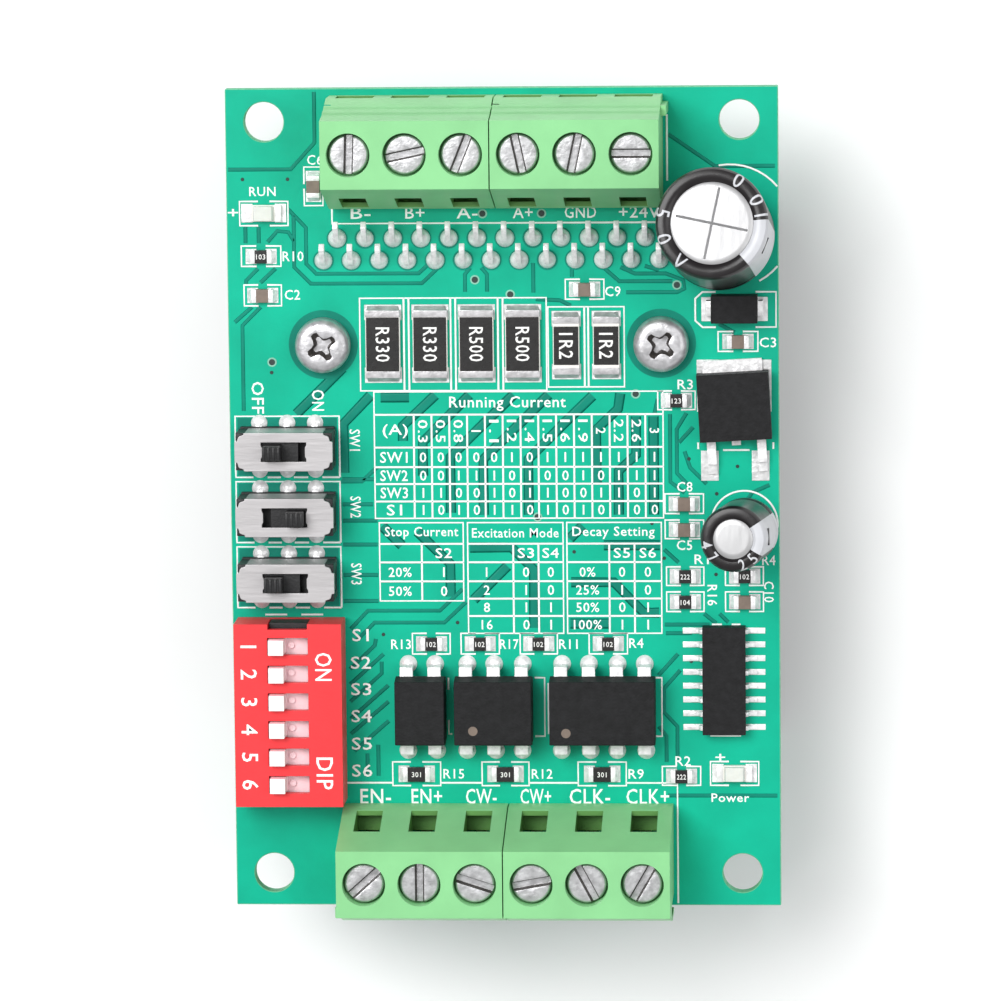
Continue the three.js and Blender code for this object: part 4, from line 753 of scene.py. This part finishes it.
def sense_resistors():
    alumina, glaze, metal, pads = (bmesh.new() for _ in range(4))
    codes = []
    height, wrap = 0.6, 0.95
    for x, y, width, length, end, code in SENSE_RESISTORS:
        half_w, half_l = width / 2, length / 2
        body = half_l - 0.35
        add_box(alumina, (x - half_w, y - body + 0.1, 0.06), (x + half_w, y + body - 0.1, height))
        add_box(glaze, (x - half_w + 0.08, y - half_l + end, height - 0.02),
                (x + half_w - 0.08, y + half_l - end, height + 0.07))
        for side in (-1, 1):
            y0, y1 = sorted((y + side * body, y + side * (body - wrap + 0.3)))
            add_box(metal, (x - half_w - 0.01, y0, 0.05), (x + half_w + 0.01, y1, height + 0.05))
            y0, y1 = sorted((y + side * (half_l + 0.12), y + side * (body - wrap)))
            add_box(pads, (x - half_w - 0.12, y0, 0), (x + half_w + 0.12, y1, 0.05))
            wedge = bmesh.new()
            outline = [(x - half_w * 0.92, y + side * (body - 0.02), 0.04),
                       (x - half_w * 0.92, y + side * (half_l + 0.05), 0.04),
                       (x - half_w * 0.92, y + side * (body + 0.13), 0.24),
                       (x - half_w * 0.92, y + side * (body - 0.02), 0.5)]
            add_prism(wedge, outline, (half_w * 1.84, 0, 0))
            merge(metal, wedge)
        codes.append((code, x, y, 1.25, 0.78 * len(code), -90))
    soften(alumina, 0.06)
    soften(glaze, 0.04)
    soften(metal, 0.08)
    soften(pads, 0.02, 1)
    piece("sense_resistor_bodies", alumina, "alumina")
    piece("sense_resistor_glaze", glaze, "ceramic")
    piece("sense_resistor_ends", metal, "tin")
    piece("sense_resistor_pads", pads, "copper")
    lettering("sense_resistor_codes", codes, "print", z=height + 0.075, thickness=0.012)


def add_dome(bm, x, y, diameter, height, lean=0.0):
    """A soldered joint: a low bell with a soft foot, its crown shifted along Y by lean."""
    r = diameter / 2
    profile = [(0, 0), (r, 0), (r, 0.05), (r * 0.9, height * 0.30), (r * 0.66, height * 0.62),
               (r * 0.38, height * 0.88), (0, height)]
    made = add_turned(bm, profile, Matrix.Translation((x, y, 0)), sides=20)
    for vert in made:
        vert.co.y += lean * max(0, vert.co.z) / height


def soldered_joints():
    bm = bmesh.new()
    for i, (x, y) in enumerate(NEAR_LEADS + FAR_LEADS):
        add_dome(bm, x, y, 1.62 + 0.06 * math.sin(i * 2.1), 0.95 + 0.12 * math.sin(i * 1.7), 0.25)
    for y in SLIDE_ROWS:
        for x in (-22.3, -19.75, -17.2):
            for side in (-1, 1):
                add_dome(bm, x, y + side * 2.15, 1.5, 0.5)
    for name in ("optocoupler_4_pin", "optocoupler_6_pin", "optocoupler_8_pin"):
        low, high = corners(name)
        count = int(name.split("_")[1]) // 2
        for i in range(count):
            x = (low.x + high.x) / 2 + (i - (count - 1) / 2) * LEAD_PITCH
            for side, y in ((-1, low.y), (1, high.y)):
                add_dome(bm, x + 0.06 * math.sin(i * 3 + side), y - side * 0.05, 1.62, 0.62)
    for face in bm.faces:
        face.smooth = True
    piece("soldered_joints", bm, "solder")


# ---- chips ---------------------------------------------------------------------------
def driver_chip():
    from_cad("driver_chip", "driver_chip_body", ["epoxy", "solder"], 0.05,
             lambda c: c.y > 20.62 or c.z > -1.58)


def optocouplers():
    marks = bmesh.new()
    body_half = 3.21
    for name, mark in (("optocoupler_4_pin", None), ("optocoupler_6_pin", (-2.86, -20.7)),
                       ("optocoupler_8_pin", (5.6, -20.9))):
        middle = centre(name)
        from_cad(name, name + "_body", ["epoxy", "solder"], 0.08,
                 lambda c: abs(c.y - middle.y) > body_half)
        if mark:
            top = corners(name)[1].z
            add_post(marks, *mark, top - 0.01, top + 0.01, 0.85, sides=32)
    piece("first_pin_marks", marks, "tan")


def logic_chip():
    high = corners("logic_chip")[1]
    x, y, _ = centre("logic_chip")
    from_cad("logic_chip", "logic_chip_body", ["epoxy", "solder"], 0.04,
             lambda c: abs(c.x - x) > 1.96)
    pads, dimple = bmesh.new(), bmesh.new()
    for i in range(8):
        lead_y = y + (i - 3.5) * 1.27
        for side in (-1, 1):
            x0, x1 = sorted((x + side * 1.95, x + side * 3.75))
            add_box(pads, (x0, lead_y - 0.27, 0), (x1, lead_y + 0.27, 0.06))
    soften(pads, 0.025)
    piece("logic_chip_pads", pads, "solder")
    add_turned(dimple, [(0, 0), (0.36, 0), (0.42, 0.012), (0.36, 0.02), (0.3, 0.008), (0, 0.006)],
               Matrix.Translation((18.8, -13.1, high.z)), sides=32)
    piece("logic_chip_dimple", dimple, "epoxy")


def regulator():
    turn = Matrix.Rotation(math.radians(-3), 4, "Z") @ Matrix.Translation((-20.95, -8.65, 0))

    def bare(c):
        return abs((turn @ c).y) > 3.06 or (c.z < 0.01 and abs((turn @ c).x) < 2.6)

    from_cad("voltage_regulator", "regulator_body", ["epoxy", "solder"], 0.07, bare)
    pads = bmesh.new()
    for x0, x1, y0, y1 in ((17.9, 19.5, 1.7, 4.45), (22.5, 24.1, 1.7, 4.45), (17.55, 24.3, 8.0, 12.75)):
        add_box(pads, (x0, y0, 0), (x1, y1, 0.07))
    soften(pads, 0.05)
    piece("regulator_pads", pads, "copper")


def diode():
    x = centre("protection_diode").x
    from_cad("protection_diode", "diode_body", ["epoxy", "solder"], 0.10,
             lambda c: abs(c.x - x) > 2.12)
    pads = bmesh.new()
    for x0, x1 in ((18.0, 19.6), (22.5, 24.0)):
        add_box(pads, (x0, 16.25, 0), (x1, 18.45, 0.16))
    soften(pads, 0.06)
    piece("diode_pads", pads, "solder")


def indicators():
    metal, pads = bmesh.new(), bmesh.new()
    for name in ("run_led", "power_led"):
        low, high = corners(name)
        from_cad(name, name + "_body", ["alumina", "lens"], 0.05, lambda c: c.z > low.z + 0.51)
        for side, x in ((-1, low.x), (1, high.x)):
            x0, x1 = sorted((x + side * 0.02, x - side * 0.55))
            add_box(metal, (x0, low.y - 0.02, 0.03), (x1, high.y + 0.02, 0.53))
            x0, x1 = sorted((x + side * 0.45, x - side * 0.6))
            add_box(pads, (x0, low.y - 0.1, 0), (x1, high.y + 0.1, 0.14))
    soften(metal, 0.05)
    soften(pads, 0.05)
    piece("led_ends", metal, "solder")
    piece("led_pads", pads, "solder")


# ---- heat sink and its screws --------------------------------------------------------
def heat_sink():
    from_cad("heat_sink", "finned_heat_sink", "anodised", 0.16)


RECESS = [(-13, 1.45), (0, 1.52), (13, 1.45), (25, 0.98), (45, 0.80), (65, 0.98)]


def cross_recess(spin):
    """The tapered four-armed recess in a clamp screw's head, as a cutter."""
    bm = bmesh.new()
    floor_z, top_z, taper = 0.9, 2.25, 0.60
    turns = [(math.radians(angle + quarter), r) for quarter in (0, 90, 180, 270) for angle, r in RECESS]
    floor_face = bm.faces.new([bm.verts.new((r * taper * math.cos(t), r * taper * math.sin(t), floor_z))
                               for t, r in turns])
    moved = bmesh.ops.extrude_face_region(bm, geom=[floor_face])["geom"]
    rim = [v for v in moved if isinstance(v, bmesh.types.BMVert)]
    bmesh.ops.translate(bm, verts=rim, vec=(0, 0, top_z - floor_z))
    bmesh.ops.scale(bm, verts=rim, vec=(1 / taper, 1 / taper, 1))
    bmesh.ops.transform(bm, matrix=spin, verts=bm.verts)
    return bm


def clamp_screws():
    for side, turn in (("left", 32), ("right", 52)):
        node = "clamp_screw_" + side
        low, high = corners(node)
        x, y = (low.x + high.x) / 2, (low.y + high.y) / 2
        profile = [(0, low.z), (1.1, low.z), (1.5, low.z + 0.5), (1.5, 0), (2.46, 0), (2.5, 0.08),
                   (2.5, 1.0), (2.47, 1.35), (2.37, 1.62), (2.19, 1.82), (1.95, 1.94), (1.65, 2.0), (0, 2.0)]
        bm = bmesh.new()
        add_turned(bm, profile, sides=64)
        bm = carved(bm, cross_recess(Matrix.Rotation(math.radians(turn), 4, "Z")))
        # The faces of the cross recess take the dark zinc: painted shade.
        paint(bm, 1, lambda c: 0.92 < c.z < 1.97 and c.xy.length < 1.5)
        soften(bm, 0.05)
        bmesh.ops.translate(bm, verts=bm.verts, vec=(x, y, 0))
        piece("clamp_screw_" + side + "_pan_head", bm, ["zinc", "zinc_shade"],
              replaces=[node])


# ---- screw terminals -----------------------------------------------------------------
SLOT_ANGLES = {"b_minus": 88, "b_plus": 12, "a_minus": 68, "a_plus": 102, "ground": 78, "supply": 0,
               "enable_minus": 42, "enable_plus": 90, "direction_minus": -18, "direction_plus": 10,
               "pulse_minus": -62, "pulse_plus": 60}
POLE_PITCH = 5
BLOCK_HALF = 7.5
HEAD_BOTTOM = 8.9
HEAD_TOP = 10.2


def terminal_housing():
    """One three-way block about its middle screw, its wire entries towards -Y."""
    bm = bmesh.new()
    section = [(5.5, 0), (5.5, 2.2), (3.05, 11), (-3.05, 11), (-3.42, 8.3), (-3.61, 8.0), (-3.80, 6.6),
               (-3.99, 6.3), (-4.62, 4.0), (-4.62, 0)]
    add_prism(bm, [(-BLOCK_HALF, y, z) for y, z in section], (2 * BLOCK_HALF, 0, 0))
    rib = bmesh.new()
    add_box(rib, (-BLOCK_HALF - 0.5, -3.95, 0), (-BLOCK_HALF + 0.2, -3.05, 6.3))
    groove = bmesh.new()
    add_box(groove, (BLOCK_HALF - 0.6, -4.15, -0.5), (BLOCK_HALF + 1, -2.85, 5.9))
    bm = carved(bm, groove)
    cuts = [bmesh.new() for _ in range(6)]
    for x in (-POLE_PITCH, 0, POLE_PITCH):
        add_box(cuts[0], (x - 1.95, -3, -1), (x + 1.95, 3.2, 8.4))
        add_box(cuts[1], (x - 1.7, -6, 0.8), (x + 1.7, -2.5, 3.9))
        add_box(cuts[2], (x - 1.2, 3.0, 2.8), (x + 1.2, 6.5, 7.0))
        add_box(cuts[3], (x - 1.2, 3.0, 1.2), (x + 1.2, 4.85, 6.9))
        add_post(cuts[4], x, 0, HEAD_BOTTOM - 0.05, 12, 3.9, sides=56)
        add_post(cuts[5], x, 0, 8, 9.5, 2.6, sides=32)
    for cutter in cuts:
        bm = carved(bm, cutter)
    soften(bm, 0.10)
    merge(bm, rib)
    # Faces inside the chambers, entries and windows take the darker green: painted shade.
    paint(bm, 1, inside_housing)
    return bm


def inside_housing(c):
    """Whether a face's middle lies in a chamber, an entry or a window, not on the outside."""
    rise = max(0, c.z - 2.2)
    entry_wall = -4.50 + 0.27 * max(0, c.z - 4.0)
    return abs(c.x) < 7.2 and 0.03 < c.z < 8.7 and entry_wall < c.y < 5.42 - 0.278 * rise


def terminal_housings():
    pattern = terminal_housing()
    for row, turned in (("back", True), ("front", False)):
        for side in ("left", "right"):
            node = f"terminal_housing_{row}_{side}"
            poles = POLES_BACK if turned else POLES_FRONT
            axis = centre("terminal_screw_" + poles[1 if side == "left" else 4])
            matrix = Matrix.Translation((axis.x, axis.y, 0)) @ (HALF_TURN if turned else Matrix())
            bm = pattern.copy()
            bmesh.ops.transform(bm, matrix=matrix, verts=bm.verts)
            piece(f"terminal_block_{row}_{side}", bm, ["terminal", "terminal_painted_shade"],
                  replaces=[node])
    pattern.free()


def slotted_screw():
    """A terminal screw about its own axis, its slot along X."""
    bm = bmesh.new()
    add_turned(bm, [(0, 4.2), (0.95, 4.2), (1.1, 4.4), (1.1, HEAD_BOTTOM), (1.72, HEAD_BOTTOM),
                    (1.75, HEAD_BOTTOM + 0.03), (1.75, HEAD_TOP - 0.16), (1.70, HEAD_TOP - 0.06),
                    (1.6, HEAD_TOP), (0.8, HEAD_TOP - 0.01), (0, HEAD_TOP - 0.02)], sides=64)
    slot = bmesh.new()
    add_prism(slot, [(-3, -0.27, HEAD_TOP - 0.6), (-3, 0.27, HEAD_TOP - 0.6), (-3, 0.47, HEAD_TOP + 0.2),
                     (-3, -0.47, HEAD_TOP + 0.2)], (6, 0, 0))
    bm = carved(bm, slot)
    # The slot's walls take the dark zinc: painted shade.
    paint(bm, 1, lambda c: 0.25 < abs(c.y) < 0.45 and HEAD_TOP - 0.59 < c.z < HEAD_TOP - 0.03)
    soften(bm, 0.03)
    return bm


def terminal_screws():
    pattern = slotted_screw()
    for pole in POLES_BACK + POLES_FRONT:
        node = "terminal_screw_" + pole
        axis = centre(node)
        turn = Matrix.Rotation(math.radians(SLOT_ANGLES[pole]), 4, "Z")
        matrix = Matrix.Translation((axis.x, axis.y, 0)) @ turn
        bm = pattern.copy()
        bmesh.ops.transform(bm, matrix=matrix, verts=bm.verts)
        piece("slotted_screw_" + pole, bm, ["zinc", "zinc_shade"], body="screw_" + pole,
              replaces=[node])
    pattern.free()


def clamp_cages():
    for pole in POLES_BACK + POLES_FRONT:
        from_cad("clamp_cage_" + pole, "wire_clamp_" + pole, "pewter", 0.05,
                 body="cage_" + pole)


def contact_bars():
    """The fixed bar in each chamber, with its leg down through the board, and the joint under it."""
    bm, joints = bmesh.new(), bmesh.new()
    under = corners("circuit_board")[0].z
    for poles, turn in ((POLES_BACK, HALF_TURN), (POLES_FRONT, Matrix())):
        for pole in poles:
            axis = centre("terminal_screw_" + pole)
            matrix = Matrix.Translation((axis.x, axis.y, 0)) @ turn
            add_box(bm, (-0.9, -2.2, 3.55), (0.9, 3.05, 4.1), matrix)
            add_box(bm, (-0.5, 2.55, under - 1.3), (0.5, 3.05, 4.1), matrix)
            foot = matrix @ Vector((0, 2.8, 0))
            add_turned(joints, [(0, 0), (0.95, 0), (0.85, -0.3), (0.45, -0.9), (0, -1.0)],
                       Matrix.Translation((foot.x, foot.y, under)), sides=20)
    for name in ("supply_capacitor", "output_capacitor"):
        for x, y in CAN_LEADS[name]:
            add_turned(joints, [(0, 0), (0.85, 0), (0.7, -0.3), (0.4, -0.85), (0, -0.95)],
                       Matrix.Translation((x, y, under)), sides=20)
    for x, y in NEAR_LEADS + FAR_LEADS:
        add_turned(joints, [(0, 0), (0.6, 0), (0.5, -0.2), (0.36, -0.5), (0, -0.55)],
                   Matrix.Translation((x, y, under)), sides=16)
    soften(bm, 0.06)
    piece("contact_bars", bm, "pewter")
    piece("joints_under_the_board", joints, "solder")


# ---- switches ------------------------------------------------------------------------
DIP_TOP = 5
DIP_WAYS = 6
DIP_MIDDLE = (-19.55, -19.1)


def dip_switch():
    from_cad("dip_switch_cover", "dip_cover", "red", 0.12)
    from_cad("dip_switch_base", "dip_base", "black", 0.04)
    for way in range(1, DIP_WAYS + 1):
        node = f"dip_slider_{way}"
        low, high = corners(node)
        bm = copy_of(node)
        skirt_top = high.z - 2.1
        # The lower part of the rocker takes the pink copy of the white plastic: painted shade in the cover's
        # slot.
        paint(bm, 1, lambda c: c.z < high.z - 1.0)
        soften(bm, 0.10)
        x, y = (low.x + high.x) / 2, (low.y + high.y) / 2
        ring = bmesh.new()
        add_turned(ring, [(0, 0), (0.27, 0), (0.30, 0.03), (0.27, 0.05), (0.19, 0.02), (0, 0.015)],
                   Matrix.Translation((x + 1.25, y, skirt_top + 0.17)), sides=24)
        # The small ring down beside the rocker takes the same painted pink shade.
        paint(ring, 1, lambda c: True)
        merge(bm, ring)
        piece(f"dip_rocker_{way}", bm, ["white", "pink"], body=f"slider_{way}",
              replaces=[node], normals=False)
    end = corners("dip_switch_cover")[1].y
    x, y = DIP_MIDDLE
    insert = bmesh.new()
    add_box(insert, (x - 1.76, end - 0.62, 0.6), (x + 1.76, end - 0.04, 3.9))
    soften(insert, 0.06)
    piece("dip_end_insert", insert, "black")
    labels = [(str(i + 1), -23.1, y + (2.5 - i) * LEAD_PITCH, 1.45, None, -90) for i in range(DIP_WAYS)]
    labels += [("ON", -16.3, -14.6, 1.5, 2.55, -90), ("DIP", -16.3, -24.4, 1.5, 2.95, -90)]
    lettering("dip_legend", labels, "silk", z=DIP_TOP + 0.006, thickness=0.012)


def slide_shell(middle, high):
    """The folded plate over a slide switch: notched corners, and an eared slot for the knob."""
    half_l, half_w, sheet = 4.45, 1.75, 0.3
    quarter = [(half_l, half_w - 0.82), (half_l - 0.24, half_w - 0.78), (half_l - 0.34, half_w - 0.42),
               (half_l - 0.46, half_w - 0.30), (half_l - 0.80, half_w - 0.20), (half_l - 0.86, half_w)]
    outline = quarter + [(-x, y) for x, y in reversed(quarter)]
    outline += [(-x, -y) for x, y in quarter] + [(x, -y) for x, y in reversed(quarter)]
    bm = bmesh.new()
    add_prism(bm, [(x, y, high - sheet) for x, y in outline], (0, 0, sheet))
    slot = bmesh.new()
    end = [(2.06, -0.88), (2.06, -0.62), (1.94, -0.42), (1.94, 0.42), (2.06, 0.62), (2.06, 0.88)]
    opening = end + [(-x, y) for x, y in reversed(end)]
    add_prism(slot, [(x, y, high - 1) for x, y in opening], (0, 0, 2))
    bm = carved(bm, slot)
    for side in (-1, 1):
        y0, y1 = sorted((side * half_w, side * (half_w - sheet)))
        add_box(bm, (-half_l + 0.9, y0, 0.7), (half_l - 0.9, y1, high - 0.15))
    soften(bm, 0.05)
    bmesh.ops.translate(bm, verts=bm.verts, vec=(middle.x, middle.y, 0))
    return bm


def slide_switches():
    legs = bmesh.new()
    for i in (1, 2, 3):
        frame_node, base_node, knob_node = (f"slide_switch_{i}_{part}" for part in ("frame", "base", "knob"))
        middle = centre(frame_node)
        piece(f"slide_shell_{i}", slide_shell(middle, corners(frame_node)[1].z), "nickel",
              replaces=[frame_node])
        bm = copy_of(base_node)
        top = corners(base_node)[1].z
        for x in (-1, 1):
            for y in (-1, 1):
                x0, x1 = sorted((middle.x + x * 3.4, middle.x + x * 4.38))
                y0, y1 = sorted((middle.y + y * 1.0, middle.y + y * 1.70))
                corner = bmesh.new()
                add_box(corner, (x0, y0, 0.62), (x1, y1, top - 0.02))
                merge(bm, corner)
        soften(bm, 0.05)
        piece(f"slide_body_{i}", bm, "black", replaces=[base_node])
        low, high = corners(knob_node)
        bm = copy_of(knob_node)
        x, y = (low.x + high.x) / 2, (low.y + high.y) / 2
        for k in (-1, 0, 1):
            groove = bmesh.new()
            rib = x + k * 0.45
            add_box(groove, (rib - 0.08, y - 2, high.z - 0.12), (rib + 0.08, y + 2, high.z + 1))
            bm = carved(bm, groove)
        soften(bm, 0.05)
        piece(f"slide_knob_{i}", bm, "black", body=f"knob_{i}", replaces=[knob_node])
        for x in (-22.3, -19.75, -17.2):
            for side in (-1, 1):
                y0, y1 = sorted((middle.y + side * 1.72, middle.y + side * 2.0))
                add_box(legs, (x - 0.3, y0, 0.1), (x + 0.3, y1, 0.55))
    soften(legs, 0.06)
    piece("slide_switch_legs", legs, "solder")


# ---- capacitors ----------------------------------------------------------------------
CANS = {
    "supply_capacitor": {"x": 19.7, "y": 24.14, "lean": (-0.33, 2.64), "diameter": 9.96, "length": 15.2,
                         "standoff": 1.2, "disc": 3.65, "stripe": (-48, 4), "lead_pitch": 5,
                         "lead_turn": 0.4, "scores": (0, 90), "cap": 1.4,
                         "print": (("1", 9), ("0", 27), ("0", 58), ("5", 168), ("0", 198), ("V", 230))},
    "output_capacitor": {"x": 21.97, "y": -2.73, "lean": (-1.08, 0.57), "diameter": 5.98, "length": 10,
                         "standoff": 0.8, "disc": 1.8, "stripe": (-30, 34), "lead_pitch": 2.5,
                         "lead_turn": 0.9, "scores": (), "cap": 1.15,
                         "print": (("4", 192), ("7", 222), ("2", 290), ("5", 316))},
}
CAN_LEADS = {
    name: [(can["x"] + side * can["lead_pitch"] / 2 * math.cos(can["lead_turn"]),
            can["y"] + side * can["lead_pitch"] / 2 * math.sin(can["lead_turn"])) for side in (-1, 1)]
    for name, can in CANS.items()
}


def can_profile(can):
    """The sleeve's outline from its foot to the edge of the bare disc."""
    r, length, disc = can["diameter"] / 2, can["length"], can["disc"]
    return [(0, 0), (r - 0.6, 0), (r - 0.15, 0.12), (r, 0.4), (r, 1.2), (r - 0.12, 1.45), (r - 0.34, 1.8),
            (r - 0.12, 2.15), (r, 2.4), (r, length - 0.75), (r - 0.06, length - 0.42),
            (r - 0.24, length - 0.14), (r - 0.6, length - 0.04), (r - 0.95, length - 0.08),
            (disc + 0.12, length - 0.18), (disc, length - 0.28), (disc - 0.3, length - 0.36),
            (0, length - 0.36)]


def rating_print(can):
    """Digits that run round the top of the sleeve and over its shoulder."""
    whole = bmesh.new()
    path = [Vector((r, z)) for r, z in reversed(can_profile(can)[8:15])]
    for text, angle in can["print"]:
        glyph = word(text, can["cap"], 0.01, 0.008, 4)
        for _ in range(4):
            bmesh.ops.triangulate(glyph, faces=glyph.faces)
            long = [e for e in glyph.edges if e.calc_length() > 0.16]
            bmesh.ops.subdivide_edges(glyph, edges=long, cuts=1)
        middle = (min(v.co.x for v in glyph.verts) + max(v.co.x for v in glyph.verts)) / 2
        for vert in glyph.verts:
            along, left = max(0, can["cap"] - vert.co.y), 0
            for start, end in zip(path, path[1:]):
                left = along
                along -= (end - start).length
                if along < 0:
                    break
            onward = (end - start).normalized()
            spot = start + onward * left + Vector((-onward.y, onward.x)) * (0.022 + vert.co.z)
            turn = math.radians(angle) + (vert.co.x - middle) / (can["diameter"] / 2)
            vert.co = (spot.x * math.cos(turn), spot.x * math.sin(turn), spot.y)
        merge(whole, glyph)
    return whole


def capacitors():
    leads = bmesh.new()
    for name, can in CANS.items():
        length, disc = can["length"], can["disc"]
        along = Vector((*can["lean"], can["standoff"] + length)).normalized()
        stand = (Matrix.Translation((can["x"], can["y"], can["standoff"]))
                 @ Vector((0, 0, 1)).rotation_difference(along).to_matrix().to_4x4())
        sleeve = bmesh.new()
        add_turned(sleeve, can_profile(can), sides=96)
        low, high = (math.radians(a) for a in can["stripe"])
        paint(sleeve, 1, lambda c: low < math.atan2(c.y, c.x) < high and c.xy.length > disc - 0.05)
        bmesh.ops.transform(sleeve, matrix=stand, verts=sleeve.verts)
        piece(name + "_sleeve", sleeve, ["sleeve", "stripe"], replaces=[name])
        mark = bmesh.new()
        middle = (low + high) / 2
        add_box(mark, (-0.08, -0.75, -0.30), (0.03, 0.75, 0.30),
                Matrix.Rotation(middle, 4, "Z") @ Matrix.Translation((can["diameter"] / 2, 0, length - 2.2)))
        bmesh.ops.transform(mark, matrix=stand, verts=mark.verts)
        piece(name + "_minus_sign", mark, "sleeve")
        rating = rating_print(can)
        bmesh.ops.transform(rating, matrix=stand, verts=rating.verts)
        piece(name + "_rating", rating, "stripe", smooth=False)
        top = bmesh.new()
        add_turned(top, [(0, length - 0.5), (disc - 0.02, length - 0.5), (disc - 0.02, length - 0.22),
                         (disc - 0.2, length - 0.13), (disc - 0.5, length - 0.12), (0, length - 0.12)],
                         sides=96)
        for quarter in can["scores"]:
            score = bmesh.new()
            reach = disc * 0.88
            turn = Matrix.Rotation(math.radians(quarter + 78), 4, "Z")
            add_prism(score, [(-reach, -0.12, length - 0.11), (-reach, 0.12, length - 0.11),
                              (-reach, 0, length - 0.30)], (2 * reach, 0, 0))
            bmesh.ops.transform(score, matrix=turn, verts=score.verts)
            top = carved(top, score)
        bmesh.ops.transform(top, matrix=stand, verts=top.verts)
        piece(name + "_vent_disc", top, "can")
        for x, y in CAN_LEADS[name]:
            add_post(leads, x, y, corners("circuit_board")[0].z - 1.1, can["standoff"] + 0.8, 0.6, sides=16)
    piece("capacitor_leads", leads, "solder")


# ---- assembly ------------------------------------------------------------------------
camera()
studio()
FINISH = make_finishes()
floor()

board()
copper_pattern()
clearings()
vias()
screen_print()
printed_labels()
printed_tables()
small_parts()
sense_resistors()
soldered_joints()
driver_chip()
optocouplers()
logic_chip()
regulator()
diode()
indicators()
heat_sink()
clamp_screws()
terminal_housings()
terminal_screws()
clamp_cages()
contact_bars()
dip_switch()
slide_switches()
capacitors()
